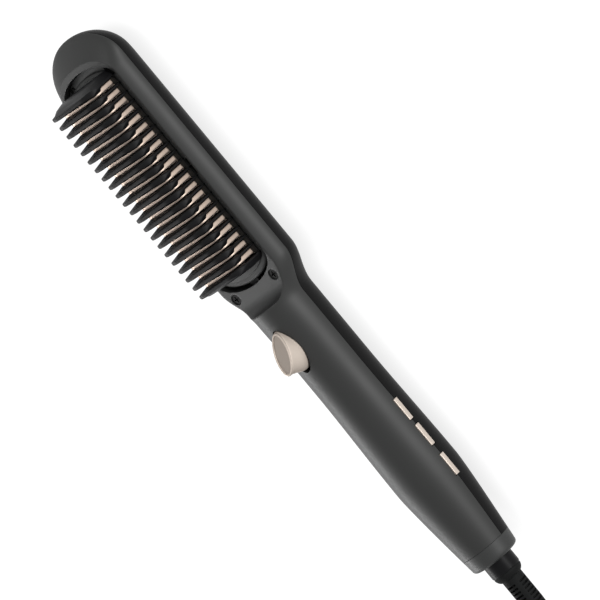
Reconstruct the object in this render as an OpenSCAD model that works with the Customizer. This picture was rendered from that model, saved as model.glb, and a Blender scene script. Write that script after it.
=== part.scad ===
// Heated straightening brush: comb fins with copper heating plates between them,
// a round handle with three buttons, a tension trigger and a swivel mains lead.
// The brush lies on its back, fins up, tip towards -X and lead towards +X.
// Inside this file x runs along the brush from its tip, y is the button side and
// z is measured from the seam between the two shells. place() moves that into the frame.

/* [Head] */
// Half width of the head at the seam
head_half_w = 24.2; // [22:0.1:29]
// Height of the flat deck above the seam
deck_h = 7.7; // [6.6:0.1:9]
// Height of the uncut front curve above the seam
head_front = 14.5; // [13:0.1:17]
// Depth of the back below the seam
back_d = 16.6; // [15.5:0.1:20]
// Length of the round tip in plan
tip_l = 17.3; // [14:0.1:20]
// Thickness of the casing walls
wall = 2; // [1.6:0.1:2.6]

/* [Fins] */
// Number of comb fins
fin_count = 22; // [10:1:24]
// Distance from fin to fin
fin_pitch = 4.805; // [4.6:0.001:6]
// Distance from the tip to the first fin
fin_first = 23.5; // [21:0.1:30]
// Half width of a fin
fin_half_w = 17.1; // [15:0.1:17.4]
// Height of a fin above the deck
fin_h = 18; // [16:0.1:24]
// Corner radius of a fin
fin_r = 8; // [6:0.1:10]
// Thickness of a fin's web
web_t = 0.7; // [0.6:0.05:0.9]
// Reach of the guide lobe on each fin
lobe_reach = 2.4; // [1.8:0.1:2.6]

/* [Heating plates] */
// Half width of a heating plate
plate_half_w = 13.5; // [11:0.1:14]
// Height of a heating plate above the deck
plate_h = 13; // [9:0.1:13.4]
// Corner radius of a heating plate
plate_r = 6; // [4:0.1:8]
// Thickness of a heating plate
plate_t = 2.1; // [1.6:0.05:2.3]
// Centre of a heating plate from the fin on its tip side
plate_shift = 2.2; // [2:0.05:2.4]

/* [Handle] */
// Length from the end of the deck to the end of the casing
handle_l = 157; // [140:1:190]
// Radius of the handle's neck
neck_r = 15.2; // [14:0.1:18]
// Radius of the handle's belly
belly_r = 16.2; // [15.5:0.1:19.5]
// Radius of the handle at its end
end_r = 11.9; // [11.5:0.1:14.5]
// Length of the end cap
cap_l = 8; // [7:0.5:10]

/* [Buttons and trigger] */
// Length of a button
button_l = 11.7; // [9:0.1:14]
// Width of a button
button_w = 3.2; // [2.6:0.1:4.4]
// Travel of a button
button_travel = 0.5; // [0.3:0.05:0.6]
// Length of the trigger
trigger_l = 23; // [21:0.5:26]
// Half width of the trigger
trigger_half_w = 5.4; // [4.8:0.1:6]
// Height of the trigger above the handle
trigger_h = 9.4; // [6:0.1:11]
// Pressed angle of the trigger in degrees
trigger_angle = 12; // [6:1:12]
// Sliding travel of the comb
comb_travel = 1; // [0.4:0.1:1]

/* [Lead] */
// Diameter of the swivel sleeve
sleeve_d = 14.9; // [13.5:0.1:16]
// Diameter of the strain relief
relief_d = 10.3; // [9:0.1:12]
// Length of the strain relief past the sleeve
relief_l = 41; // [34:1:48]
// Diameter of the mains cord
cord_d = 6; // [5:0.1:6.4]
// Radius of the plug's pins
pin_r = 2; // [1.8:0.05:2.4]
// Length of the plug's pins
pin_l = 19; // [17:0.5:20]
// Distance between the plug's pins
pin_gap = 19; // [18:0.1:20]

/* [Hidden] */
$fn = 48;

charcoal = [0.29, 0.30, 0.30];
dark_shell = [0.20, 0.20, 0.20];
fin_black = [0.13, 0.13, 0.14];
copper = [0.80, 0.68, 0.60];
champagne = [0.84, 0.78, 0.72];
steel = [0.62, 0.62, 0.64];
brass = [0.80, 0.66, 0.36];
board_green = [0.10, 0.32, 0.20];
mica_tan = [0.78, 0.72, 0.58];
gloss_black = [0.05, 0.05, 0.06];
rubber_black = [0.10, 0.10, 0.11];

// Clearances
eps = 0.01;          // overrun of a cut past the face it opens
fit = 0.05;          // radial clearance of a turning or sliding pair
gap = 0.3;           // ordinary gap between loose pieces
screw_fit = 0.08;    // radial clearance of a screw in its pilot hole

// Stations along the brush
fin_last = fin_first + (fin_count - 1) * fin_pitch;
recess_x0 = fin_first - 9;
recess_x1 = fin_last + 10.7;
recess_end = 9.7;                     // depth of the recess's rounded ends
recess_half_w = head_half_w - 4.7;
comb_x0 = recess_x0 + 3.3;
comb_x1 = recess_x1 - 2.8;
comb_half_w = recess_half_w - 1.1;
deck_x1 = recess_x1 + 4.9;
crease_x = deck_x1 + 6.3;
fillet_r = 6.5;
neck_x0 = recess_x1 - 5.1;
neck_x1 = deck_x1 + 10;
waist_x = deck_x1 + 50;
belly_x = deck_x1 + 0.7 * handle_l;
body_x1 = deck_x1 + handle_l;
cap_x0 = body_x1 - cap_l;

// Heights from the seam
comb_top = deck_h - 0.5;
comb_t = 2.5;
comb_bottom = comb_top - comb_t;
fin_top = deck_h + fin_h;
plate_top = deck_h + plate_h;
slab_top = comb_bottom - 1.7;
slab_t = 2.5;
heater_t = 1.3;
mica_t = 0.4;
tray_t = 1.9;
tray_top = slab_top - slab_t - heater_t - mica_t;
tray_bottom = tray_top - tray_t;

// Swivel and lead
sleeve_r = sleeve_d / 2;
relief_r = relief_d / 2;
sleeve_x1 = body_x1 + 7;
relief_x1 = sleeve_x1 + relief_l;
span_x = relief_x1;
cord_r = cord_d / 2;

module place() {
    translate([-span_x / 2, 0, back_d]) children();
}

// ---------------------------------------------------------------- helpers

function ease(t) = let (u = min(max(t, 0), 1)) u * u * (3 - 2 * u);
function mix(a, b, t) = a + (b - a) * ease(t);
function unit(v) = v / norm(v);
function flat_list(lists) = [for (l = lists) each l];
function arc(cx, cy, r, a0, a1, n) =
    [for (i = [0:n]) let (a = a0 + (a1 - a0) * i / n) [cx + r * cos(a), cy + r * sin(a)]];

// Closed skin over rings of equal size that follow one another
module skin(rings) {
    n = len(rings[0]);
    m = len(rings);
    mid = function (ring) [for (k = [0:2]) [for (p = ring) p[k]] * [for (p = ring) 1] / n];
    points = concat(flat_list(rings), [mid(rings[0]), mid(rings[m - 1])]);
    sides = [for (i = [0:m - 2], j = [0:n - 1])
        let (a = i * n + j, b = i * n + (j + 1) % n)
        each [[a, a + n, b + n], [a, b + n, b]]];
    first = [for (j = [0:n - 1]) [n * m, j, (j + 1) % n]];
    last = [for (j = [0:n - 1]) [n * m + 1, n * (m - 1) + (j + 1) % n, n * (m - 1) + j]];
    polyhedron(points, concat(sides, first, last));
}

// Rings of a round tube along points, kept upright
function tube_rings(path, r, sides) =
    let (m = len(path))
    [for (i = [0:m - 1])
        let (t = unit(path[min(i + 1, m - 1)] - path[max(i - 1, 0)]),
             u = unit(cross([0, 0, 1], t)),
             v = cross(t, u))
        [for (j = [0:sides - 1]) let (a = 360 * (j + 0.5) / sides - 90)
            path[i] + r * (cos(a) * u + sin(a) * v)]];

function path_length(path) =
    [for (i = [1:len(path) - 1]) norm(path[i] - path[i - 1])] * [for (i = [1:len(path) - 1]) 1];

// A solid of revolution about the brush's axis, from points [radius, x]
module turned(points) {
    rotate([0, 90, 0]) rotate_extrude() polygon(points);
}

// An outline in the y-z plane pushed along x
module along_x(x0, x1) {
    translate([x0, 0, 0]) rotate([90, 0, 90]) linear_extrude(x1 - x0) children();
}

// An outline in the x-z plane pushed across the brush
module across(y0, y1) {
    translate([0, y1, 0]) rotate([90, 0, 0]) linear_extrude(y1 - y0) children();
}

module block(x0, x1, y0, y1, z0, z1) {
    translate([x0, y0, z0]) cube([x1 - x0, y1 - y0, z1 - z0]);
}

module post(x, y, r, z0, z1) {
    translate([x, y, z0]) cylinder(r = r, h = z1 - z0);
}

// ---------------------------------------------------------------- casing form

// Radius of the handle
function handle_r(x) = x < belly_x
    ? mix(neck_r, belly_r, (x - waist_x) / (belly_x - waist_x))
    : belly_r - (belly_r - end_r) * pow((x - belly_x) / (body_x1 - belly_x), 1.22);

// Half width at the seam
function half_w(x) = x < tip_l
    ? head_half_w * sqrt(1 - pow(1 - x / tip_l, 2))
    : mix(head_half_w, handle_r(x), (x - neck_x0) / (neck_x1 - neck_x0));

// Front curve: a straight slope from the tip, then the head, then the handle
nose_x = 2.5;
nose_h = 1.8;
slope_x = 11.5;
function front_c(x) = x < nose_x ? nose_h * sqrt(x / nose_x)
    : x < neck_x0 ? min(head_front, nose_h + (deck_h - nose_h) * (x - nose_x) / (slope_x - nose_x))
    : x < crease_x ? mix(head_front, neck_r + 0.8, (x - neck_x0) / (crease_x - neck_x0))
    : mix(neck_r + 0.8, handle_r(x), (x - crease_x) / 24);

// Back curve
back_tip = 23;
function back_c(x) = x < back_tip ? back_d * sqrt(1 - pow(1 - x / back_tip, 2))
    : x < neck_x0 ? back_d
    : x < neck_x1 ? mix(back_d, neck_r + 0.6, (x - neck_x0) / (neck_x1 - neck_x0))
    : x < belly_x ? mix(neck_r + 0.6, back_d, (x - waist_x) / (belly_x - waist_x))
    : handle_r(x) + (back_d - belly_r) * (1 - ease((x - belly_x) / (cap_x0 - belly_x)));

function section(x, inset, sides) =
    let (a = half_w(x) - inset, c = front_c(x) - inset, b = back_c(x) - inset)
    [for (j = [0:sides - 1]) let (t = 360 * j / sides)
        [x, a * cos(t), (sin(t) < 0 ? b : c) * sin(t)]];

function steps(x0, x1, n) = [for (i = [0:n - 1]) x0 + (x1 - x0) * i / n];
casing_stations = concat(
    [for (i = [0:7]) tip_l * (1 - cos(6 + 12 * i))],
    [20, back_tip],
    steps(neck_x0, neck_x1, 7),
    steps(neck_x1, waist_x, 2),
    steps(waist_x, belly_x, 5),
    steps(belly_x, cap_x0, 5),
    [cap_x0]);
cavity_stations = concat(
    [for (i = [1:3]) wall + 1 + (back_tip - wall) * (1 - cos(26 * i))],
    [back_tip + 2],
    steps(neck_x0, neck_x1, 4),
    steps(neck_x1, belly_x, 4),
    steps(belly_x, cap_x0, 3),
    [cap_x0 + eps]);
casing_sides = 44;
cavity_sides = 28;
far = 400;

module casing_half(front) {
    intersection() {
        skin([for (x = casing_stations) section(x, 0, casing_sides)]);
        block(-1, far, -far / 2, far / 2, front ? 0 : -40, front ? 40 : 0);
    }
}

module cavity() {
    skin([for (x = cavity_stations) section(x, wall, cavity_sides)]);
}

// Everything above the deck, with the curved step up to the handle
module over_deck(inset) {
    r = fillet_r + inset;
    across(-40, 40) polygon(concat(
        [[-5, 40], [-5, deck_h - inset]],
        arc(deck_x1, deck_h + fillet_r, r, -90, -90 + 76, 8),
        [[deck_x1 + r * sin(76) + 0.4, 40]]));
}

// Long outline with rounded ends, as the recess and the comb's plate have
function long_outline(x0, x1, w, end) = concat(
    [for (i = [0:12]) let (a = 90 + 15 * i) [x0 + end + end * cos(a), w * sin(a)]],
    [for (i = [0:12]) let (a = -90 + 15 * i) [x1 - end + end * cos(a), w * sin(a)]]);

// Half width of the recess at x in its tip end
function recess_y(x) = recess_half_w * sqrt(1 - pow((recess_x0 + recess_end - x) / recess_end, 2));

// ---------------------------------------------------------------- screws

screw_head_r = 2.45;
screw_x = recess_x1 + 0.9;
screw_y = recess_half_w - 4.8;
tip_screw_x = recess_x0 + 5.1;
tip_screw_y = recess_y(tip_screw_x - 2.2) - 0.6;
tip_head_r = 1.8;
neck_boss_top = -0.2;
screw_end = -8;
tip_screw_end = -6;

// Countersunk screw with a cross slot, head up at z
module cross_screw(x, y, z, z_end, shank_r) {
    difference() {
        translate([x, y, 0]) rotate_extrude() polygon([[0, z], [screw_head_r, z],
            [screw_head_r, z - 0.4], [shank_r, z - 1.6], [shank_r, z_end + 1], [0, z_end]]);
        for (turn = [0, 90])
            translate([x, y, z]) rotate(turn) cube([3, 0.7, 1.4], center = true);
    }
}

module screw_hole(x, y, z, shank_r) {
    post(x, y, screw_head_r + 0.25, z, z + 5);
    post(x, y, shank_r + 0.2, -1, z + 1);
}

// ---------------------------------------------------------------- front shell

shank_r = 1.4;
button_xs = [deck_x1 + 78.4, deck_x1 + 93.1, deck_x1 + 110];
trigger_x0 = deck_x1 + 16.3;
trigger_x1 = trigger_x0 + trigger_l;
pivot_x = trigger_x0 + 2.5;
pivot_z = neck_r - 6.6;
pivot_r = 1.25;
crank_r = comb_travel / sin(trigger_angle);
crank_z = pivot_z - crank_r;
crank_pin_r = 1;
rod_z0 = crank_z - 1.6;
rod_z1 = crank_z + 1.6;
rod_half_w = 3;
fork_half_w = 4.2;

trigger_gap = 0.4;
trigger_rear = 1.3;                   // further room behind the trigger, where it swings down

// Teardrop outline of the trigger, widest near its rear
function trigger_half(s) = trigger_half_w * pow(sin(180 * pow(s, 1.25)), 0.62);
trigger_rim = 0.9;
trigger_sink = 0.25;
function teardrop(x0, x1, k, grow) = let (n = 12)
    concat(
        [for (i = [0:n]) let (s = (1 - cos(180 * i / n)) / 2)
            [x0 + s * (x1 - x0), k * trigger_half(s) + grow]],
        [for (i = [n:-1:0]) let (s = (1 - cos(180 * i / n)) / 2)
            [x0 + s * (x1 - x0), -k * trigger_half(s) - grow]]);
function trigger_outline(grow, rear) =
    teardrop(trigger_x0 - grow, trigger_x1 + grow + rear, 1, grow);

module button_slots() {
    for (x = button_xs)
        block(x - button_l / 2 - gap, x + button_l / 2 + gap, handle_r(x) - wall - 3,
              handle_r(x) + 5, -button_w / 2 - gap, button_w / 2 + gap);
}

ear_y0 = 6.4;
ear_y1 = 8.4;
module pivot_ears() {
    for (side = [-1, 1])
        difference() {
            block(pivot_x - 3, pivot_x + 3, side > 0 ? ear_y0 : -ear_y1, side > 0 ? ear_y1 : -ear_y0,
                  pivot_z - 2.8, neck_r - 2.8);
            translate([pivot_x, 0, pivot_z]) rotate([90, 0, 0])
                cylinder(r = pivot_r + 0.02, h = 40, center = true);
        }
}

module front_shell() color(charcoal) place() {
    difference() {
        casing_half(true);
        over_deck(0);
        translate([0, 0, -1]) linear_extrude(40)
            polygon(long_outline(recess_x0, recess_x1, recess_half_w, recess_end));
        difference() {
            intersection() {
                cavity();
                block(deck_x1 + wall, far, -40, 40, -1, 40);
            }
            over_deck(wall);
        }
        block(recess_x1 - 6, deck_x1 + wall + 4, -fork_half_w - gap, fork_half_w + gap, -1, rod_z1 + gap);
        for (side = [-1, 1])
            screw_hole(screw_x, side * screw_y, deck_h - 2, shank_r);
        translate([0, 0, 5]) linear_extrude(20) polygon(trigger_outline(trigger_gap, trigger_rear));
        button_slots();
    }
    pivot_ears();
}

// ---------------------------------------------------------------- back shell

rib_xs = [fin_first + 8, (fin_first + fin_last) / 2, fin_last - 8];
board_x0 = deck_x1 + 46;
board_x1 = body_x1 - 27;
board_half_w = 9;
board_z0 = -5;
board_t = 1.6;
board_screw_y = 6.6;
board_screw_end = board_z0 - 5;
spring_x = trigger_x0 + 15;
spring_z0 = -1;
trigger_floor = pivot_z + 0.8;
spring_z1 = trigger_floor - 0.2;
spring_r = 3;
wire_r = 0.4;
boss_r = 3.2;

function back_z(x, y) = -back_c(x) * sqrt(max(0, 1 - pow(y / half_w(x), 2)));

// Post that grows out of the back wall
module back_post(x, y, r, top) {
    post(x, y, r, back_z(x, abs(y) + r) + wall / 2, top);
}

// Arched rib across the head that carries the tray
module tray_rib(x) {
    t = 0.9;
    across_w = half_w(x) - wall / 2;
    depth = back_d - wall / 2;
    along_x(x - t, x + t) difference() {
        polygon([for (j = [0:24]) let (a = 180 + 7.5 * j) [across_w * cos(a), depth * sin(a)]]);
        translate([-across_w, tray_bottom]) square([2 * across_w, back_d]);
        polygon([for (j = [0:16]) let (a = 180 + 11.25 * j)
            [0.6 * across_w * cos(a), tray_bottom + 0.5 * depth * sin(a)]]);
    }
}

board_screw_xs = [board_x0 + 4, board_x1 - 4];
board_screw_r = 1.1;
pilot_end = 0.5;                      // room under a screw's end

module screw_posts() {
    for (side = [-1, 1]) {
        back_post(screw_x, side * screw_y, boss_r, neck_boss_top);
        back_post(tip_screw_x, side * tip_screw_y, boss_r - 1, neck_boss_top);
        back_post((ring_xs[0] + ring_xs[1]) / 2, side * 3.2, 1.6, contact_z - 2);
        for (x = board_screw_xs)
            back_post(x, side * board_screw_y, 2.4, board_z0);
    }
    back_post(spring_x, 0, 4.6, spring_z0 - 0.2);
}

module screw_pilots() {
    for (side = [-1, 1]) {
        post(screw_x, side * screw_y, shank_r + screw_fit, screw_end - pilot_end, 1);
        post(tip_screw_x, side * tip_screw_y, shank_r + screw_fit, tip_screw_end - pilot_end, 1);
        for (x = board_screw_xs)
            post(x, side * board_screw_y, board_screw_r + screw_fit,
                 board_screw_end - pilot_end, board_z0 + 1);
    }
}

module back_shell() color(dark_shell) place() {
    difference() {
        union() {
            difference() {
                casing_half(false);
                cavity();
                button_slots();
            }
            for (x = rib_xs)
                tray_rib(x);
            screw_posts();
        }
        screw_pilots();
    }
}

module neck_screws() color(fin_black) place() {
    for (side = [-1, 1])
        cross_screw(screw_x, side * screw_y, deck_h - 0.35, screw_end, shank_r);
}

// ---------------------------------------------------------------- end cap and swivel

journal_r = sleeve_r;
flange_r = sleeve_r + 2.2;
flange_x0 = cap_x0 + 1.6;
flange_x1 = flange_x0 + 2;
cap_wall_x = flange_x1 + gap;
tail_r = 4.95;
tail_x0 = cap_x0 - 15;
ring_xs = [cap_x0 - 12.5, cap_x0 - 7.5];
ring_w = 2;
ring_r = tail_r + 0.6;
bush_x0 = cap_x0 - 2.6;
relief_root_x = sleeve_x1 - 5;

module end_cap() color(charcoal) place() {
    corner = 2;
    n = 3;
    turned(concat(
        [[journal_r + fit, cap_wall_x], [flange_r + gap, cap_wall_x], [flange_r + gap, cap_x0]],
        [for (i = [0:n]) let (x = cap_x0 + (cap_l - corner) * i / n) [handle_r(x), x]],
        arc(handle_r(body_x1 - corner) - corner, body_x1 - corner, corner, 15, 90, 4),
        [[journal_r + fit, body_x1]]));
}

// Ring behind the swivel's flange, held between the two shells
module bearing_bush() color(rubber_black) place() {
    turned([[tail_r + fit, bush_x0], [handle_r(cap_x0) - wall - 0.2, bush_x0],
        [handle_r(cap_x0) - wall - 0.2, cap_x0 - fit], [flange_r + gap - 0.1, cap_x0 - fit],
        [flange_r + gap - 0.1, flange_x0 - gap], [tail_r + fit, flange_x0 - gap]]);
}

module swivel_sleeve() color(gloss_black) place() {
    turned([[0, tail_x0], [tail_r, tail_x0], [tail_r, flange_x0], [flange_r, flange_x0],
        [flange_r, flange_x1], [journal_r, flange_x1], [journal_r, sleeve_x1 - 0.4],
        [journal_r - 0.4, sleeve_x1], [relief_r - 1, sleeve_x1], [relief_r - 1, relief_root_x],
        [0, relief_root_x]]);
}

module slip_rings() color(brass) place() {
    for (x = ring_xs)
        turned([[tail_r, x - ring_w / 2], [ring_r, x - ring_w / 2], [ring_r, x + ring_w / 2],
            [tail_r, x + ring_w / 2]]);
}

contact_z = -ring_r - 1.2;
contact_half_w = ring_r + 0.85;
module contact_block() color(rubber_black) place() {
    block(ring_xs[0] - 3, ring_xs[1] + 3, -contact_half_w, contact_half_w, contact_z - 2, contact_z);
}

// Spring leaf on each side of a slip ring
module contact_blades() color(brass) place() {
    for (x = ring_xs, side = [-1, 1])
        translate([0, side > 0 ? ring_r + gap : -ring_r - gap - 0.4, 0])
            block(x - 0.8, x + 0.8, 0, 0.4, contact_z, 2.5);
}

cone_l = 3.6;
slot_pitch = 1.9;
slot_w = 0.95;
slot_first = sleeve_x1 + 7;
slot_count = floor((relief_x1 - 4 - slot_first) / slot_pitch);
relief_end_r = cord_r + 1.1;
taper_x = sleeve_x1 + 18;
spine_angle = 12;
spine_turn = -48;

// Bend relief: a cone, then a tapering sleeve with two rows of slots between two spines
module strain_relief() color(rubber_black) place() {
    difference() {
        turned(concat(
            [[0, relief_root_x], [relief_r - 1 - fit, relief_root_x], [relief_r - 1 - fit, sleeve_x1],
             [journal_r - 0.4, sleeve_x1]],
            arc(sleeve_r - cone_l * 1.35, sleeve_x1 - 0.2, cone_l * 1.3, 12, 48, 4),
            [[relief_r, sleeve_x1 + cone_l], [relief_r, taper_x], [relief_end_r, relief_x1],
             [0, relief_x1]]));
        for (i = [0:slot_count - 1], side = [0, 180])
            translate([slot_first + i * slot_pitch, 0, 0]) rotate([spine_turn + side, 0, 0])
                rotate([0, 90, 0]) rotate([0, 0, spine_angle])
                    rotate_extrude(angle = 180 - 2 * spine_angle, $fn = 8)
                        translate([cord_r + 0.5, -slot_w / 2]) square([relief_r, slot_w]);
    }
}

// ---------------------------------------------------------------- comb

comb_slot_gap = 0.15;
rim_bottom = deck_h + 9.3;
rim_gap = 0.5;

// Outline of a fin or plate in the y-z plane, square below and round above
function arch(w, top, r, bottom) = concat(
    [[-w, bottom]],
    arc(-w + r, top - r, r, 180, 90, 5),
    arc(w - r, top - r, r, 90, 0, 5),
    [[w, bottom]]);

// Plan of a fin's thick rim: a lobe towards the handle on the button side, and the same
// turned half round on the other side
lobe_y = fin_half_w - 3.9;
function rim_side() = [
    [web_t / 2, fin_half_w], [1.1, fin_half_w - 0.9], [lobe_reach - 0.3, fin_half_w - 2],
    [lobe_reach, lobe_y + 0.6], [lobe_reach, lobe_y - 0.6], [0.56 * lobe_reach, -2],
    [0.9, -fin_half_w + 1.5], [web_t / 2, -fin_half_w]];

module fin_rim() {
    intersection() {
        along_x(-lobe_reach, lobe_reach) difference() {
            polygon(arch(fin_half_w, fin_top, fin_r, rim_bottom));
            polygon(arch(plate_half_w + rim_gap, plate_top + rim_gap, plate_r + rim_gap, 0));
        }
        translate([0, 0, rim_bottom - 1]) linear_extrude(fin_top)
            polygon(concat(rim_side(), [for (p = rim_side()) -p]));
        across(-20, 20) polygon([[-0.75, fin_top + eps], [0.75, fin_top + eps],
            [lobe_reach, fin_top - 5.2], [lobe_reach, 0], [-lobe_reach, 0], [-lobe_reach, fin_top - 5.2]]);
    }
}

module fin_web() {
    along_x(-web_t / 2, web_t / 2)
        polygon(arch(fin_half_w, fin_top - 0.3, fin_r, comb_bottom + 0.5));
}

// Sloping block that backs the last fin at either end; side is -1 at the tip, 1 at the handle
module end_wedge(side, reach) {
    intersection() {
        along_x(side < 0 ? -reach : 0, side < 0 ? 0 : reach)
            polygon(arch(fin_half_w, fin_top - 0.2, fin_r, comb_top - 1));
        across(-20, 20) polygon([for (p = [[0, fin_top], [0.5, fin_top], [0.75 * reach, fin_top - 4.7],
            [0.93 * reach, fin_top - 8.5], [reach, comb_top - 1], [0, comb_top - 1]]) [side * p[0], p[1]]]);
        translate([0, 0, -1]) linear_extrude(60) polygon([for (p = [[0, fin_half_w], [0.3, fin_half_w],
            [reach, fin_half_w - 3.2], [reach, -fin_half_w + 3.2], [0.3, -fin_half_w], [0, -fin_half_w]])
            [side * p[0], p[1]]]);
    }
}

skirt_y0 = comb_half_w - 0.7;
tray_half_w = skirt_y0 - gap;
hook_z1 = tray_bottom - gap;
hook_xs = [rib_xs[0] + 14, rib_xs[2] - 14];
peg_x = comb_x1 - 3.5;
peg_r = 0.9;
peg_half_w = 1.5;
notch_x = (fin_first + fin_last) / 2 + fin_pitch / 2;
notch_l = 8.5;

comb_lip = 1.3;                       // width of the lower lip round the comb's plate
comb_lip_h = 0.6;

// Plan of the comb's plate, drawn in by inset
module comb_plan(inset) {
    polygon(long_outline(comb_x0 + inset, comb_x1 - inset, comb_half_w - inset, recess_end - 0.5 - inset));
}

module comb_plate() {
    difference() {
        translate([0, 0, comb_bottom]) {
            linear_extrude(comb_t - comb_lip_h) comb_plan(0);
            linear_extrude(comb_t) comb_plan(comb_lip);
        }
        for (i = [0:fin_count - 2]) {
            x = fin_first + i * fin_pitch + plate_shift;
            block(x - plate_t / 2 - comb_slot_gap, x + plate_t / 2 + comb_travel + comb_slot_gap,
                  -plate_half_w - gap, plate_half_w + gap, comb_bottom - 1, comb_top + 1);
        }
        block(notch_x - notch_l / 2, notch_x + notch_l / 2, comb_half_w - 1.4, comb_half_w + 1,
              comb_bottom - 1, comb_top + 1);
    }
}

module comb() color(fin_black) place() {
    comb_plate();
    for (i = [0:fin_count - 1])
        translate([fin_first + i * fin_pitch, 0, 0]) {
            fin_web();
            fin_rim();
        }
    translate([fin_first, 0, 0]) end_wedge(-1, 3.4);
    translate([fin_last, 0, 0]) end_wedge(1, 2.9);
    for (side = [-1, 1], x = hook_xs) {
        y0 = side > 0 ? skirt_y0 : -comb_half_w + 0.1;
        block(x - 3, x + 3, y0, y0 + 0.6, hook_z1 - 1, comb_bottom + eps);
        block(x - 3, x + 3, side > 0 ? skirt_y0 - 1.5 : -skirt_y0 - eps, side > 0 ? skirt_y0 + eps
              : -skirt_y0 + 1.5, hook_z1 - 1, hook_z1);
    }
    block(peg_x - peg_r, peg_x + peg_r, -peg_half_w, peg_half_w, rod_z0 + 0.5, comb_bottom + eps);
}

// ---------------------------------------------------------------- heater

slab_x0 = fin_first;
slab_x1 = fin_last - 0.5;
slab_half_w = 14.6;
heater_half_w = 8;

module heating_plates() color(copper) place() {
    for (i = [0:fin_count - 2])
        translate([fin_first + i * fin_pitch + plate_shift, 0, 0])
            along_x(-plate_t / 2, plate_t / 2)
                polygon(arch(plate_half_w, plate_top, plate_r, slab_top - eps));
    block(slab_x0, slab_x1, -slab_half_w, slab_half_w, slab_top - slab_t, slab_top);
}

heater_x0 = slab_x0 + 6;
heater_x1 = slab_x1 - 6;
heater_z1 = slab_top - slab_t;
module heater_strip() color([0.86, 0.85, 0.82]) place() {
    block(heater_x0, heater_x1, -heater_half_w, heater_half_w, heater_z1 - heater_t, heater_z1);
}

module mica_sheet() color(mica_tan) place() {
    block(heater_x0 - 3, heater_x1, -heater_half_w - 4, heater_half_w + 4,
          heater_z1 - heater_t - mica_t, heater_z1 - heater_t);
}

tray_x0 = slab_x0 - 1.5;
tray_x1 = slab_x1 + 1.5;
wire_y = 6;
wire_r0 = 0.7;
module plate_tray() color([0.35, 0.33, 0.30]) place() {
    difference() {
        block(tray_x0, tray_x1, -tray_half_w, tray_half_w, tray_bottom, slab_top - slab_t);
        block(tray_x0 + 1.5, tray_x1 - 1.5, -slab_half_w + 1.2, slab_half_w - 1.2, tray_top, slab_top);
        for (side = [-1, 1], x = [heater_x0 + 12, heater_x1 - 12])
            post(x, side * 4, 2.6, tray_bottom - 1, tray_top + 1);
        for (side = [-1, 1])
            block(tray_x1 - 2, tray_x1 + 1, side * wire_y - 1.2, side * wire_y + 1.2, tray_top, slab_top);
    }
    for (side = [-1, 1])
        block(tray_x0, tray_x1, side > 0 ? slab_half_w + 0.2 : -tray_half_w,
              side > 0 ? tray_half_w : -slab_half_w - 0.2, slab_top - slab_t - eps, slab_top);
}

bracket_z1 = comb_bottom - 0.8;
bracket_z0 = bracket_z1 - 1.6;
module tip_screw_holes() {
    for (side = [-1, 1])
        post(tip_screw_x, side * tip_screw_y, shank_r + 0.1, neck_boss_top - 1, bracket_z1 + 1);
}

module tip_bracket() color([0.24, 0.24, 0.24]) place() {
    difference() {
        intersection() {
            translate([0, 0, bracket_z0]) linear_extrude(1.6)
                polygon(long_outline(recess_x0 + gap, recess_x1, recess_half_w - gap, recess_end));
            block(0, tray_x0 - gap, -40, 40, -40, 40);
        }
        tip_screw_holes();
    }
    difference() {
        for (side = [-1, 1])
            post(tip_screw_x, side * tip_screw_y, shank_r + 0.6, neck_boss_top, bracket_z0 + eps);
        tip_screw_holes();
    }
}

module tip_screws() color(fin_black) place() {
    for (side = [-1, 1]) {
        translate([tip_screw_x, side * tip_screw_y, 0]) difference() {
            rotate_extrude() polygon([[0, bracket_z1 + 0.6], [tip_head_r - 0.3, bracket_z1 + 0.6],
                [tip_head_r, bracket_z1], [shank_r, bracket_z1], [shank_r, tip_screw_end + 1],
                [0, tip_screw_end]]);
            for (turn = [0, 90])
                translate([0, 0, bracket_z1 + 0.6]) rotate(turn) cube([2.2, 0.5, 0.7], center = true);
        }
    }
}

fuse_x = heater_x0 + 12;
sensor_x = heater_x1 - 12;
module thermal_fuse() color(steel) place() {
    post(fuse_x, 4, 2, tray_bottom - 2.4, heater_z1 - heater_t - mica_t);
}

module heat_sensor() color([0.75, 0.2, 0.12]) place() {
    post(sensor_x, -4, 1.2, tray_bottom - 1.5, heater_z1 - heater_t - mica_t);
}

// ---------------------------------------------------------------- trigger and rod

module tension_rod() color([0.16, 0.16, 0.16]) place() {
    difference() {
        union() {
            block(peg_x - 2.2, comb_x1 + 1, -rod_half_w, rod_half_w, rod_z0, comb_bottom - gap);
            block(comb_x1 + gap, pivot_x + 3, -rod_half_w, rod_half_w, rod_z0, rod_z1);
            block(pivot_x - 3.5, pivot_x + 3, -fork_half_w, fork_half_w, rod_z0, rod_z1);
        }
        block(peg_x - peg_r - fit, peg_x + peg_r + fit, -peg_half_w - fit, peg_half_w + fit,
              rod_z0 + 0.3, comb_bottom);
        block(pivot_x - 2.4, pivot_x + 4, -2.4, 2.4, rod_z0 - 1, rod_z1 + 1);
        block(pivot_x - crank_pin_r - fit, pivot_x + crank_pin_r + fit, -5, 5,
              crank_z - crank_pin_r - 0.15, rod_z1 + 1);
    }
}

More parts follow.
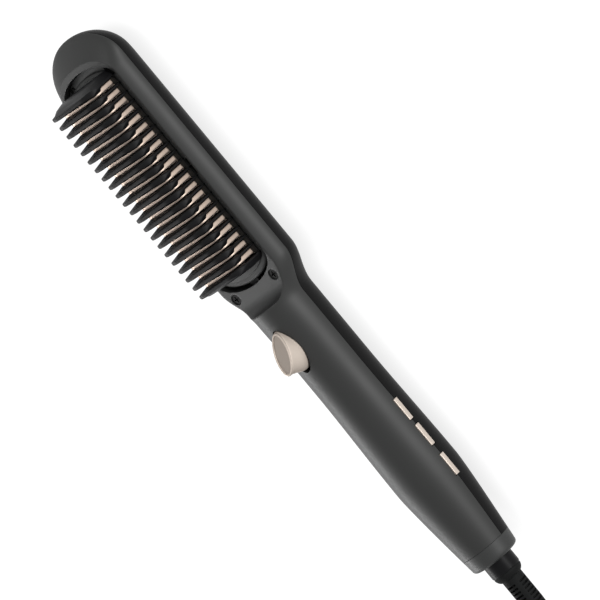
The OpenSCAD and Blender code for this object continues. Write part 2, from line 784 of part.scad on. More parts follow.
trigger_rise_x = 1.6;
trigger_base_z = neck_r + 0.9;
trigger_back = arc(trigger_x1 - 5.1, trigger_base_z + trigger_h - 2, 1.5, 110, 10, 4);
trigger_face = [[trigger_x0 + trigger_rise_x, trigger_base_z + 1.2], trigger_back[0]];
module trigger() color(champagne) place() {
    difference() {
        union() {
            intersection() {
                linear_extrude(60) polygon(trigger_outline(0, 0));
                across(-8, 8) polygon(concat(
                    [[trigger_x0 - 1, trigger_floor], [trigger_x0 - 1, trigger_base_z + 0.3],
                     trigger_face[0]],
                    trigger_back,
                    [[trigger_x1, trigger_base_z - 1.5], [trigger_x1, trigger_floor]]));
            }
            translate([pivot_x, 0, pivot_z]) rotate([90, 0, 0])
                cylinder(r = 2.4, h = 2 * (ear_y0 - 0.3), center = true);
            block(pivot_x - 1.5, pivot_x + 1.5, -2.1, 2.1, crank_z, pivot_z);
            translate([pivot_x, 0, crank_z]) rotate([90, 0, 0])
                cylinder(r = 1.5, h = 4.2, center = true);
            translate([pivot_x, 0, crank_z]) rotate([90, 0, 0])
                cylinder(r = crank_pin_r, h = 2 * fork_half_w - 0.4, center = true);
        }
        translate([pivot_x, 0, pivot_z]) rotate([90, 0, 0])
            cylinder(r = pivot_r + fit, h = 40, center = true);
        intersection() {
            linear_extrude(60) polygon(teardrop(trigger_face[0][0] + 0.3,
                trigger_face[1][0] - 0.2, 1 - trigger_rim / trigger_half_w, 0));
            across(-8, 8) polygon([[trigger_face[0][0], trigger_face[0][1] - trigger_sink],
                [trigger_face[0][0], 40], [trigger_face[1][0], 40],
                [trigger_face[1][0], trigger_face[1][1] - trigger_sink]]);
        }
    }
}

module trigger_pin() color(steel) place() {
    translate([pivot_x, 0, pivot_z]) rotate([90, 0, 0])
        cylinder(r = pivot_r, h = 2 * ear_y1, center = true);
}

spring_turns = 5;
module trigger_spring() color(steel) place() {
    z0 = spring_z0 + wire_r;
    rise = spring_z1 - spring_z0 - 2 * wire_r;
    skin(tube_rings([for (i = [0:8 * spring_turns]) let (a = 45 * i)
        [spring_x + spring_r * cos(a), spring_r * sin(a), z0 + rise * i / (8 * spring_turns)]], wire_r, 6));
}

// ---------------------------------------------------------------- buttons and boards

button_flange_t = 1;
button_line = 0.2;
switch_gap = 0.15;                    // room between a pressed button and its switch
switch_board_t = 1.2;
switch_t = 2.8;
plunger_t = 0.6;
function flange_y(x) = handle_r(x) - wall - 1.4;
plunger_y = min([for (x = button_xs) flange_y(x)]) - button_flange_t - button_travel - switch_gap;
switch_board_y = plunger_y - plunger_t - switch_t - switch_board_t;

module button(x) {
    face_y = handle_r(x) + 0.35;
    l = button_l / 2;
    w = button_w / 2;
    y0 = flange_y(x);
    difference() {
        union() {
            translate([x, face_y, 0]) rotate([90, 0, 0]) linear_extrude(face_y - y0)
                polygon(concat(arc(l - 0.5, w - 0.5, 0.5, 90, 0, 3), arc(l - 0.5, 0.5 - w, 0.5, 0, -90, 3),
                    arc(0.5 - l, 0.5 - w, 0.5, -90, -180, 3), arc(0.5 - l, w - 0.5, 0.5, 180, 90, 3)));
            block(x - l - 1, x + l + 1, y0 - button_flange_t, y0, -w - 0.9, w + 0.9);
        }
        for (z = [-w / 3, w / 3])
            block(x - l - 1, x + l + 1, face_y - button_line, face_y + 1,
                  z - button_line / 2, z + button_line / 2);
    }
    translate([x, y0 - button_flange_t, 0]) rotate([90, 0, 0])
        cylinder(r = 1.4, h = y0 - button_flange_t - plunger_y - button_travel - switch_gap + eps);
}

module high_button() color(champagne) place() button(button_xs[0]);
module low_button() color(champagne) place() button(button_xs[1]);
module power_button() color(champagne) place() button(button_xs[2]);

module button_board() color(board_green) place() {
    block(button_xs[0] - 9, button_xs[2] + 8, switch_board_y, switch_board_y + switch_board_t, -3.2, 6);
}

module tact_switches() color(fin_black) place() {
    for (x = button_xs) {
        block(x - 2.6, x + 2.6, switch_board_y + switch_board_t,
              switch_board_y + switch_board_t + switch_t, -2.6, 2.6);
        translate([x, plunger_y, 0]) rotate([90, 0, 0]) cylinder(r = 1.2, h = plunger_t);
    }
}

module main_board() color(board_green) place() {
    difference() {
        block(board_x0, board_x1, -board_half_w, board_half_w, board_z0, board_z0 + board_t);
        for (x = board_screw_xs, side = [-1, 1])
            post(x, side * board_screw_y, board_screw_r + 0.2, board_z0 - 1, board_z0 + board_t + 1);
    }
}

module board_screws() color(steel) place() {
    top = board_z0 + board_t;
    for (x = board_screw_xs, side = [-1, 1])
        translate([x, side * board_screw_y, 0]) rotate_extrude($fn = 12)
            polygon([[0, top + 1.2], [2, top + 1.2], [2, top], [board_screw_r, top],
                [board_screw_r, board_screw_end], [0, board_screw_end]]);
}

// Relay, capacitors, triac with its heat sink and two connectors
module board_parts() color([0.16, 0.30, 0.55]) place() {
    top = board_z0 + board_t;
    block(board_x0 + 10, board_x0 + 26, -7.5, 3.5, top, top + 9);
    post(board_x0 + 33, -3, 4, top, top + 10);
    block(board_x0 + 40, board_x0 + 52, -6, -3, top, top + 8);
    post(board_x0 + 58, 0, 2.6, top, top + 6);
    post(board_x0 + 65, -3, 2.6, top, top + 6);
    block(board_x0 + 9, board_x0 + 15, 4.4, 8.4, top, top + 4);
    block(board_x1 - 14, board_x1 - 9, -8, 2, top, top + 5);
}

// ---------------------------------------------------------------- inner wires

wire_sides = 8;
module wire(path, r) {
    skin(tube_rings(path, r, wire_sides));
}

module heater_wires() color([0.85, 0.85, 0.82]) place() {
    z = heater_z1 - wire_r0 - 0.15;
    for (side = [-1, 1])
        wire([for (p = [[heater_x1 + 0.1, wire_y, z], [tray_x1 - 2, wire_y, z],
            [tray_x1 + 1.5, wire_y, z - 0.2], [tray_x1 + 5.5, wire_y + 1, z - 2], [recess_x1, 8, -5],
            [deck_x1 + 10, 8.2, -7], [deck_x1 + 30, 7.8, -9], [board_x0 - 5, 5, -9],
            [board_x0, 3, -8.2], [board_x0 + 5, 2.8, -7], [board_x0 + 12, 2.8, board_z0 - wire_r0 - 0.2]])
            [p[0], side * p[1], p[2]]], wire_r0);
}

module mains_wires() color([0.35, 0.22, 0.16]) place() {
    z = board_z0 - wire_r0 - 0.2;
    for (side = [-1, 1])
        wire([[board_x1 - 14, side * 3, z], [board_x1 - 8, side * 3, z - 0.2],
            [board_x1 - 2, side * 3, contact_z - 0.5],
            [ring_xs[0] - 3.1, side * 3, contact_z - 1]], wire_r0);
}

// ---------------------------------------------------------------- mains cord

// Cord from the strain relief down to the surface, hand-placed points past the relief's end
lead_route = [[0, 0, 0], [6, 0, 0], [12, 0.2, -0.1], [18, 1.8, -0.9], [24, 5, -2.4], [30, 9.4, -4.5],
    [36, 14.6, -6.9], [42, 19.6, -9.2], [48, 23.6, -11.1], [54, 25.8, -12.1], [60, 26.3, -12.4],
    [66, 26.3, -12.4]];

step = 7;                             // sideways step of the hank's loops
layer_rise = cord_d + 0.5;
hank_inner_r = 18.2;
hank_run = 101;
waist_dip = 8;
loops = 4.5;
run_part = hank_run / (2 * hank_run + 2 * PI * (hank_inner_r + step / 2));
turns_at = [for (i = [1:3]) i + run_part / 2];
hank_r0 = hank_inner_r + turns_at[0] * step;
tie_t = 1.1;
stub = 6;                             // straight length at either end of the hank
hank_x0 = relief_x1 + 66 + stub;
hank_z0 = cord_r + tie_t + 0.1 - back_d;

function hank_r(t) = hank_r0 - step * (t < turns_at[0] ? t
    : t < turns_at[1] ? 2 * turns_at[0] - t
    : t < turns_at[2] ? t - 2
    : 2 * turns_at[0] + 2 - t);
function hank_layer(t) = [for (c = turns_at) ease((t - c) / run_part + 0.5)] * [1, 1, 1];
function waist(s) = waist_dip * pow(sin(180 * s), 2);
function hank_point(t) =
    let (f = t - floor(t), r = hank_r(t), z = hank_z0 + layer_rise * hank_layer(t),
         bend = 0.5 - run_part, side = f < 0.5 ? 1 : -1, g = f < 0.5 ? f : f - 0.5,
         s = g / run_part, a = 180 * (g - run_part) / bend)
    g < run_part
        ? [hank_x0 + (side > 0 ? s : 1 - s) * hank_run, side * (r - waist(s)), z]
        : [side > 0 ? hank_x0 + hank_run + r * sin(a) : hank_x0 - r * sin(a), side * r * cos(a), z];
function hank_t(k) = let (n = floor(k / 24), m = k - 24 * n, h = m < 12 ? 0 : 0.5, q = m % 12)
    n + h + (q < 4 ? run_part * q / 4 : run_part + (0.5 - run_part) * (q - 4) / 8);
hank_turns = [for (k = [0:24 * loops]) hank_point(hank_t(k))];
hank_end = hank_turns[len(hank_turns) - 1] - [stub, 0, 0];
hank_path = concat([hank_turns[0] - [stub, 0, 0]], hank_turns, [hank_end]);

// Least distance between stretches of the hank that aren't neighbours, less the cord
function to_line(p, a, b) = let (d = b - a, s = min(max((p - a) * d / (d * d), 0), 1)) norm(p - a - s * d);
hank_gap = min([for (i = [0:len(hank_path) - 1], j = [i + 8:1:len(hank_path) - 2])
    to_line(hank_path[i], hank_path[j], hank_path[j + 1])]) - cord_d;

// Cord over the hank's top: along it to the near end, round that end, and back to the plug
top_r = 21.6;
top_z = hank_end[2] + layer_rise + 0.1;
climb_route = [[0, 0, 0], [-6, 0.45, 0.5], [-12, 1.65, 1.8], [-18, 3.45, 3.5], [-24, 5.75, 5.2],
    [-30, 8.25, 6.5], [-36, 10.45, 7.4], [-42, 12.05, 7.8], [-48, 12.75, 7.8], [-54, 12.55, 7.5],
    [-60, 11.75, 7.1], [-66, 10.55, 6.8], [-72, 9.25, 6.65], [-78, 7.95, 6.6], [-84, 6.85, 6.6],
    [-90, 6.25, 6.6]];
plug_route = [[6, -0.15, 0.1], [12, -0.9, 0.6], [18, -2.4, 1.4], [24, -4.2, 2.3], [30, -5.7, 3],
    [36, -6.5, 3.3], [42, -6.7, 3.35]];
lead_path = [for (p = lead_route) [relief_x1, 0, 0] + p];
tail_path = concat(
    [for (p = climb_route) hank_end + p],
    [for (i = [0:8]) [hank_x0 - top_r * sin(22.5 * i), -top_r * cos(22.5 * i), top_z]],
    [for (p = plug_route) [hank_x0, top_r, top_z] + p]);
plug_at = tail_path[len(tail_path) - 1];
cord_length = path_length(lead_path) + path_length(hank_path) + path_length(tail_path);
echo(hank_gap = hank_gap, cord_length = cord_length, hank_end = hank_end);

module cord_lead() color(rubber_black) place() {
    skin(tube_rings(lead_path, cord_r, 8));
}

module cord_hank() color(rubber_black) place() {
    skin(tube_rings(hank_path, cord_r, 6));
}

module cord_tail() color(rubber_black) place() {
    skin(tube_rings(tail_path, cord_r, 8));
}

// Strap round the hank's waist
module cord_tie() color([0.06, 0.06, 0.06]) place() {
    inner_w = hank_r0 - waist_dip + cord_r + 0.4;
    z0 = hank_z0 - cord_r - 0.1;
    z1 = hank_z0 + 3 * layer_rise + cord_r + 0.2;
    along_x(hank_x0 + hank_run / 2 - 4, hank_x0 + hank_run / 2 + 4) difference() {
        translate([-inner_w - tie_t, z0 - tie_t]) square([2 * (inner_w + tie_t), z1 - z0 + 2 * tie_t]);
        translate([-inner_w, z0]) square([2 * inner_w, z1 - z0]);
    }
}

plug_l = 36;
plug_relief_l = 22;
plug_w = 17.6;
plug_t = 6.3;
plug_neck_w = 6;                      // half width where the relief meets the body
plug_shoulder = 8;
plug_edge_r = 5;
// Flat two-pin plug on the hank, its pins away from the brush
module plug_body() color(rubber_black) place() translate(plug_at) rotate([0, 0, 180]) {
    x0 = -plug_relief_l - plug_l;
    x1 = -plug_relief_l;
    half_plan = [[x1, plug_neck_w], [x1 - plug_shoulder, plug_neck_w + 3], [x0 + plug_shoulder, plug_w],
        [x0, plug_w]];
    intersection() {
        translate([0, 0, -plug_t]) linear_extrude(2 * plug_t)
            polygon(concat(half_plan, [for (i = [3:-1:0]) [half_plan[i][0], -half_plan[i][1]]]));
        along_x(-80, 0) polygon(concat(arc(plug_w - plug_edge_r, 0, plug_t, 80, -80, 6),
            arc(-plug_w + plug_edge_r, 0, plug_t, 260, 100, 6)));
    }
    rotate([0, -90, 0]) rotate_extrude() polygon([[0, 0], [cord_r + 0.8, 0],
        [cord_r + 2.4, plug_relief_l], [0, plug_relief_l]]);
}

module plug_pins() color(brass) place() translate(plug_at) rotate([0, 0, 180]) {
    for (side = [-1, 1])
        translate([-plug_relief_l - plug_l, side * pin_gap / 2, 0]) rotate([0, -90, 0])
            rotate_extrude() polygon([[0, 0], [pin_r, 0], [pin_r, pin_l - 1],
                [pin_r - 0.8, pin_l], [0, pin_l]]);
}

front_shell();
back_shell();
end_cap();
neck_screws();
heating_plates();
heater_strip();
mica_sheet();
plate_tray();
tip_bracket();
tip_screws();
thermal_fuse();
heat_sensor();
heater_wires();
comb();
tension_rod();
trigger();
trigger_pin();
trigger_spring();
high_button();
low_button();
power_button();
main_board();
board_parts();
board_screws();
button_board();
tact_switches();
bearing_bush();
contact_block();
contact_blades();
mains_wires();
swivel_sleeve();
slip_rings();
strain_relief();
cord_lead();
cord_hank();
cord_tail();
cord_tie();
plug_body();
plug_pins();
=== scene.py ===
"""Electric straightening brush: looks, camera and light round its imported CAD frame.

Sizes are in millimetres along the brush from its tip, across it towards the buttons, and up
from the seam between the shells. place() turns them into the frame's metres.
"""
import math

import bmesh
import bpy
from mathutils import Matrix, Vector


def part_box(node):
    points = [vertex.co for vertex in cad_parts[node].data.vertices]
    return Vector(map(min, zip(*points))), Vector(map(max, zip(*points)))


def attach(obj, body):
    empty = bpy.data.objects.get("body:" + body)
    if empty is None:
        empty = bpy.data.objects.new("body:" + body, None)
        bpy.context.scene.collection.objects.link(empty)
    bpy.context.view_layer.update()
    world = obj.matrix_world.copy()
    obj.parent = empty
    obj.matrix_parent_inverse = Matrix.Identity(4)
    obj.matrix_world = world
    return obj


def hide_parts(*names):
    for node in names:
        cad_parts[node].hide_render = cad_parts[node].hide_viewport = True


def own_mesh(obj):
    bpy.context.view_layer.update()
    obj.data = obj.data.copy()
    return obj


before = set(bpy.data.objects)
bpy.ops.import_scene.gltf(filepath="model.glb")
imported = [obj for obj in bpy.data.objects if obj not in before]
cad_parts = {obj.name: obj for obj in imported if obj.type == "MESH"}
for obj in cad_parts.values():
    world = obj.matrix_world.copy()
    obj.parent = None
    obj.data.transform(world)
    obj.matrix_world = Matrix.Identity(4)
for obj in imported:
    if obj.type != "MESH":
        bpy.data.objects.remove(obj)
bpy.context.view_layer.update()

MM = 0.001
SPAN = 345.005                          # from the tip to the end of the bend relief
SEAM_Z = 16.6                           # height of the shells' seam over the floor


def place(x, y, z):
    """A point of the brush, in the frame's metres."""
    return Vector(((x - SPAN / 2) * MM, y * MM, (z + SEAM_Z) * MM))


TO_FRAME = Matrix.Translation(place(0, 0, 0)) @ Matrix.Scale(MM, 4)

# ------------------------------------------------------------------ camera

VIEW_DIRECTION = Vector((-0.084, 0.74, 0.667)).normalized()
VIEW_TURN = math.radians(50.3)          # the brush runs down to the right in the picture
VIEW_CENTRE = place(153.5, 4.05, -4.5)
VIEW_WIDTH = 0.264
CAMERA_DISTANCE = 3.5


def add_camera():
    """A long lens far off, which sees the brush almost without perspective."""
    along = (Vector((1, 0, 0)) - VIEW_DIRECTION * VIEW_DIRECTION.x).normalized()
    across = VIEW_DIRECTION.cross(along)
    right = along * math.cos(VIEW_TURN) + across * math.sin(VIEW_TURN)
    up = across * math.cos(VIEW_TURN) - along * math.sin(VIEW_TURN)
    data = bpy.data.cameras.new("camera")
    data.sensor_width = 36
    data.lens = data.sensor_width * CAMERA_DISTANCE / VIEW_WIDTH
    data.clip_start = 0.1
    data.clip_end = 50
    camera = bpy.data.objects.new("camera", data)
    bpy.context.scene.collection.objects.link(camera)
    turn = Matrix((right, up, VIEW_DIRECTION)).transposed()
    camera.matrix_world = Matrix.Translation(
        VIEW_CENTRE + VIEW_DIRECTION * CAMERA_DISTANCE) @ turn.to_4x4()
    bpy.context.scene.camera = camera


add_camera()

# ------------------------------------------------------------------ finishes


def node_group(name, inputs, outputs):
    """An empty shader group with named sockets, and its input and output nodes."""
    group = bpy.data.node_groups.new(name, "ShaderNodeTree")
    for label, kind, value in inputs:
        group.interface.new_socket(label, in_out="INPUT", socket_type=kind).default_value = value
    for label, kind in outputs:
        group.interface.new_socket(label, in_out="OUTPUT", socket_type=kind)
    return group, group.nodes.new("NodeGroupInput"), group.nodes.new("NodeGroupOutput")


def ranged(nodes, links, value, low, high):
    """value, from 0 to 1, spread between low and high."""
    spread = nodes.new("ShaderNodeMapRange")
    spread.inputs["To Min"].default_value = low
    spread.inputs["To Max"].default_value = high
    links.new(value, spread.inputs["Value"])
    return spread.outputs["Result"]


def calculate(nodes, links, operation, first, second):
    """What a math operation gives for two values, each a socket or a number."""
    maths = nodes.new("ShaderNodeMath")
    maths.operation = operation
    for socket, value in zip(maths.inputs, (first, second)):
        if isinstance(value, (int, float)):
            socket.default_value = value
        else:
            links.new(value, socket)
    return maths.outputs[0]


PATCH_SCALE = 45                        # uneven patches of shine, per metre
FLECK_TONES = 0.86, 1.14                # the grain's darkest and lightest share of the tint
GRAIN_RELIEF = 0.0001                   # metres of bump at full depth
COAT_ROUGHNESS = 0.12


def moulded_group():
    """Moulded surface: fine erosion grain, and broad uneven shine as plastic has."""
    group, given, put = node_group("moulded_surface", [
        ("Tint", "NodeSocketColor", (0.1, 0.1, 0.1, 1)), ("Shine", "NodeSocketFloat", 0.4),
        ("Unevenness", "NodeSocketFloat", 0.1), ("Grain", "NodeSocketFloat", 3000.0),
        ("Stretch", "NodeSocketVector", (1, 1, 1))],
        [("Color", "NodeSocketColor"), ("Roughness", "NodeSocketFloat"),
         ("Height", "NodeSocketFloat")])
    nodes, links = group.nodes, group.links
    where = nodes.new("ShaderNodeTexCoord").outputs["Object"]
    drawn = nodes.new("ShaderNodeVectorMath")
    drawn.operation = "MULTIPLY"
    links.new(where, drawn.inputs[0])
    links.new(given.outputs["Stretch"], drawn.inputs[1])
    grain = nodes.new("ShaderNodeTexNoise")
    grain.inputs["Detail"].default_value = 3
    links.new(drawn.outputs[0], grain.inputs["Vector"])
    links.new(given.outputs["Grain"], grain.inputs["Scale"])
    broad = nodes.new("ShaderNodeTexNoise")
    broad.inputs["Scale"].default_value = PATCH_SCALE
    broad.inputs["Detail"].default_value = 4
    links.new(where, broad.inputs["Vector"])
    swing = calculate(nodes, links, "MULTIPLY", given.outputs["Unevenness"],
                      ranged(nodes, links, broad.outputs["Fac"], -1, 1))
    links.new(calculate(nodes, links, "ADD", given.outputs["Shine"], swing),
              put.inputs["Roughness"])
    fleck = ranged(nodes, links, grain.outputs["Fac"], *FLECK_TONES)
    tone = calculate(nodes, links, "MULTIPLY", fleck,
                     calculate(nodes, links, "ADD", 1.0, swing))
    tinted = nodes.new("ShaderNodeVectorMath")
    tinted.operation = "SCALE"
    links.new(given.outputs["Tint"], tinted.inputs[0])
    links.new(tone, tinted.inputs["Scale"])
    links.new(tinted.outputs[0], put.inputs["Color"])
    links.new(grain.outputs["Fac"], put.inputs["Height"])
    return group


MOULDED = moulded_group()


def finish(name, tint, shine, grain=3000.0, depth=0.05, unevenness=0.04, metal=0.0,
           specular=0.5, coat=0.0, stretch=(1, 1, 1)):
    """A name and its material on the moulded surface group. grain counts specks per metre."""
    material = bpy.data.materials.new(name + "_look")
    material.use_nodes = True
    nodes, links = material.node_tree.nodes, material.node_tree.links
    shader = nodes["Principled BSDF"]
    surface = nodes.new("ShaderNodeGroup")
    surface.node_tree = MOULDED
    for label, value in (("Tint", (*tint, 1)), ("Shine", shine), ("Unevenness", unevenness),
                         ("Grain", grain), ("Stretch", stretch)):
        surface.inputs[label].default_value = value
    bump = nodes.new("ShaderNodeBump")
    bump.inputs["Strength"].default_value = depth
    bump.inputs["Distance"].default_value = GRAIN_RELIEF
    links.new(surface.outputs["Height"], bump.inputs["Height"])
    links.new(surface.outputs["Color"], shader.inputs["Base Color"])
    links.new(surface.outputs["Roughness"], shader.inputs["Roughness"])
    links.new(bump.outputs["Normal"], shader.inputs["Normal"])
    shader.inputs["Metallic"].default_value = metal
    shader.inputs["Specular IOR Level"].default_value = specular
    shader.inputs["Coat Weight"].default_value = coat
    shader.inputs["Coat Roughness"].default_value = COAT_ROUGHNESS
    return name, material


FINISHES = dict((
    finish("casing_charcoal", (0.0165, 0.0170, 0.0165), 0.52, specular=0.36),
    # The back shell is the casing made darker and duller: painted shade, as the back turns away
    # from the lamps.
    finish("casing_back", (0.0075, 0.0075, 0.0075), 0.42, specular=0.06),
    finish("cap_plastic", (0.021, 0.022, 0.0215), 0.5, specular=0.38),
    finish("comb_black", (0.006, 0.006, 0.0065), 0.46, 2500.0, 0.12, specular=0.10),
    finish("comb_plate", (0.030, 0.031, 0.030), 0.50, specular=0.2),
    finish("plate_copper", (0.66, 0.53, 0.44), 0.48, 5000.0, 0.0, 0.03, metal=0.5),
    finish("heater_ceramic", (0.75, 0.73, 0.68), 0.6, 2200.0, 0.2),
    finish("mica", (0.60, 0.54, 0.40), 0.35, 900.0, 0.4, stretch=(1, 3, 1)),
    finish("tray_dark", (0.012, 0.011, 0.010), 0.55, 2000.0, 0.2, specular=0.1),
    finish("bracket_dark", (0.075, 0.077, 0.076), 0.45, specular=0.2),
    finish("screw_black", (0.005, 0.005, 0.005), 0.35, 6000.0, 0.1, specular=0.08),
    finish("steel", (0.60, 0.60, 0.61), 0.28, 4000.0, 0.1, metal=1.0, stretch=(0.1, 1, 1)),
    finish("sensor_red", (0.50, 0.05, 0.03), 0.3, coat=0.4),
    finish("wire_white", (0.75, 0.74, 0.70), 0.5, 2500.0, 0.1),
    finish("wire_brown", (0.13, 0.05, 0.025), 0.5, 2500.0, 0.1),
    finish("rod_black", (0.004, 0.004, 0.004), 0.5, 2000.0, 0.3, specular=0.05,
           stretch=(0.15, 1, 1)),
    finish("trigger_champagne", (0.60, 0.52, 0.45), 0.48, 9000.0, 0.03, 0.03, metal=0.3),
    finish("trigger_field", (0.33, 0.28, 0.24), 0.5, 7000.0, 0.25, 0.03, metal=0.4),
    finish("button_champagne", (0.62, 0.54, 0.47), 0.33, 9000.0, 0.03, 0.03, metal=0.4),
    finish("board_green", (0.02, 0.12, 0.06), 0.35, 1500.0, 0.15, coat=0.3),
    finish("parts_dark", (0.03, 0.04, 0.06), 0.4, 3000.0, 0.1),
    finish("switch_black", (0.02, 0.02, 0.02), 0.4),
    finish("bush_black", (0.03, 0.03, 0.03), 0.5),
    finish("brass", (0.70, 0.52, 0.22), 0.25, 4000.0, 0.08, metal=1.0),
    finish("sleeve_gloss", (0.004, 0.004, 0.0045), 0.42, 3000.0, 0.01, 0.02, specular=0.10),
    finish("relief_rubber", (0.013, 0.0135, 0.0135), 0.6, 2600.0, 0.15, specular=0.04),
    finish("cord_rubber", (0.010, 0.010, 0.010), 0.5, 2200.0, 0.2, specular=0.16),
    finish("tie_black", (0.010, 0.010, 0.010), 0.7, 1800.0, 0.6, specular=0.2,
           stretch=(1, 0.2, 1)),
    finish("plug_rubber", (0.014, 0.014, 0.014), 0.48, 2400.0, 0.3, specular=0.2),
    finish("pin_metal", (0.75, 0.74, 0.70), 0.2, 5000.0, 0.04, metal=1.0),
))


NODES_OF_LOOK = {
    "casing_charcoal": "front_shell", "casing_back": "back_shell", "cap_plastic": "end_cap",
    "comb_black": "comb", "plate_copper": "heating_plates", "heater_ceramic": "heater_strip",
    "mica": "mica_sheet", "tray_dark": "plate_tray", "bracket_dark": "tip_bracket",
    "screw_black": "neck_screws tip_screws", "rod_black": "tension_rod",
    "steel": "thermal_fuse trigger_pin trigger_spring board_screws",
    "sensor_red": "heat_sensor", "wire_white": "heater_wires", "wire_brown": "mains_wires",
    "trigger_champagne": "trigger", "button_champagne": "high_button low_button power_button",
    "board_green": "main_board button_board", "parts_dark": "board_parts",
    "switch_black": "tact_switches", "bush_black": "bearing_bush contact_block",
    "brass": "contact_blades slip_rings", "sleeve_gloss": "swivel_sleeve",
    "relief_rubber": "strain_relief", "cord_rubber": "cord_lead cord_hank cord_tail",
    "tie_black": "cord_tie", "plug_rubber": "plug_body", "pin_metal": "plug_pins",
}
for look, names in NODES_OF_LOOK.items():
    for node in names.split():
        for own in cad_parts[node].material_slots:
            own.material = FINISHES[look]

# ------------------------------------------------------------------ shapes

WELD = 0.0005                           # points nearer than this are one point


def prism(axis, outline, low, high):
    """A solid made by pushing an outline along an axis from low to high."""
    u, v, w = {"x": ((0, 1, 0), (0, 0, 1), (1, 0, 0)), "y": ((1, 0, 0), (0, 0, 1), (0, 1, 0)),
               "z": ((1, 0, 0), (0, 1, 0), (0, 0, 1))}[axis]
    u, v, w = Vector(u), Vector(v), Vector(w)
    bm = bmesh.new()
    face = bm.faces.new([bm.verts.new(u * a + v * b + w * low) for a, b in outline])
    made = bmesh.ops.extrude_face_region(bm, geom=[face])["geom"]
    bmesh.ops.translate(bm, verts=[g for g in made if isinstance(g, bmesh.types.BMVert)],
                        vec=w * (high - low))
    bmesh.ops.remove_doubles(bm, verts=bm.verts, dist=WELD)
    bmesh.ops.recalc_face_normals(bm, faces=bm.faces)
    return bm


def block(x0, x1, y0, y1, z0, z1):
    """A box between two corners."""
    bm = bmesh.new()
    middle = Vector(((x0 + x1) / 2, (y0 + y1) / 2, (z0 + z1) / 2))
    bmesh.ops.create_cube(bm, size=1, matrix=Matrix.Translation(middle)
                          @ Matrix.Diagonal((x1 - x0, y1 - y0, z1 - z0, 1)))
    return bm


def post(x, y, r, z0, z1, sides=40):
    """An upright cylinder."""
    bm = bmesh.new()
    bmesh.ops.create_cone(bm, cap_ends=True, segments=sides, radius1=r, radius2=r,
                          depth=z1 - z0, matrix=Matrix.Translation((x, y, (z0 + z1) / 2)))
    return bm


def pin_across(x, z, r, half, sides=32):
    """A cylinder across the brush, as long to either side of its middle as half."""
    bm = bmesh.new()
    bmesh.ops.create_cone(bm, cap_ends=True, segments=sides, radius1=r, radius2=r,
                          depth=2 * half, matrix=Matrix.Translation((x, 0, z))
                          @ Matrix.Rotation(math.pi / 2, 4, "X"))
    return bm


def turned(outline, closed=True, steps=128):
    """A solid of revolution about the handle's axis, from points (radius, x)."""
    bm = bmesh.new()
    verts = [bm.verts.new((x, 0, r)) for r, x in outline]
    chain = list(zip(verts, verts[1:])) + ([(verts[-1], verts[0])] if closed else [])
    edges = [bm.edges.new(pair) for pair in chain]
    bmesh.ops.spin(bm, geom=verts + edges, cent=(0, 0, 0), axis=(1, 0, 0),
                   angle=2 * math.pi, steps=steps, use_merge=True)
    bmesh.ops.remove_doubles(bm, verts=bm.verts, dist=WELD)
    bmesh.ops.recalc_face_normals(bm, faces=bm.faces)
    return bm


def lofted(rings):
    """A closed solid through closed rings of equal size."""
    m, n = len(rings), len(rings[0])
    bm = bmesh.new()
    bmesh.ops.create_grid(bm, x_segments=m - 1, y_segments=n, size=0.5)
    for vert in bm.verts:
        i, j = round((vert.co.x + 0.5) * (m - 1)), round((vert.co.y + 0.5) * n)
        vert.co = rings[i][j % n]
    bmesh.ops.remove_doubles(bm, verts=bm.verts, dist=WELD)
    bmesh.ops.holes_fill(bm, edges=[e for e in bm.edges if e.is_boundary], sides=0)
    bmesh.ops.recalc_face_normals(bm, faces=bm.faces)
    return bm


def joined(*parts):
    """One mesh of several parts, which stay separate in it. The parts are used up."""
    whole = bmesh.new()
    for part in parts:
        mesh = bpy.data.meshes.new("part")
        part.to_mesh(mesh)
        part.free()
        whole.from_mesh(mesh)
        bpy.data.meshes.remove(mesh)
    return whole


def repeated(part, steps):
    """Copies of a part, each moved along the brush by one of the steps."""
    mesh = bpy.data.meshes.new("part")
    part.to_mesh(mesh)
    part.free()
    whole = bmesh.new()
    for step in steps:
        whole.from_mesh(mesh)
        whole.verts.ensure_lookup_table()
        bmesh.ops.translate(whole, verts=whole.verts[-len(mesh.vertices):], vec=(step, 0, 0))
    bpy.data.meshes.remove(mesh)
    return whole


def carved(body, tool, operation="DIFFERENCE"):
    """body with tool cut out of it, joined to it or kept where they cross."""
    pair = []
    for bm in (body, tool):
        mesh = bpy.data.meshes.new("part")
        bm.to_mesh(mesh)
        bm.free()
        pair.append(bpy.data.objects.new("part", mesh))
        bpy.context.scene.collection.objects.link(pair[-1])
    cut = pair[0].modifiers.new("cut", "BOOLEAN")
    cut.operation = operation
    cut.solver = "MANIFOLD"
    cut.object = pair[1]
    result = bmesh.new()
    result.from_object(pair[0], bpy.context.evaluated_depsgraph_get())
    for obj in pair:
        mesh = obj.data
        bpy.data.objects.remove(obj)
        bpy.data.meshes.remove(mesh)
    return result


def softened(bm, width, angle=40, segments=2, tidy=True, keep=None):
    """bm with its sharp edges rounded."""
    bmesh.ops.remove_doubles(bm, verts=bm.verts, dist=WELD)
    if tidy:
        bmesh.ops.dissolve_limit(bm, angle_limit=math.radians(0.5), verts=bm.verts,
                                 edges=bm.edges)
    edges = [e for e in bm.edges if len(e.link_faces) == 2
             and e.calc_face_angle(0) > math.radians(angle) and (keep is None or keep(e))]
    bmesh.ops.bevel(bm, geom=edges, offset=width, offset_type="OFFSET", affect="EDGES",
                    segments=segments, profile=0.5, clamp_overlap=True, material=-1)
    return bm


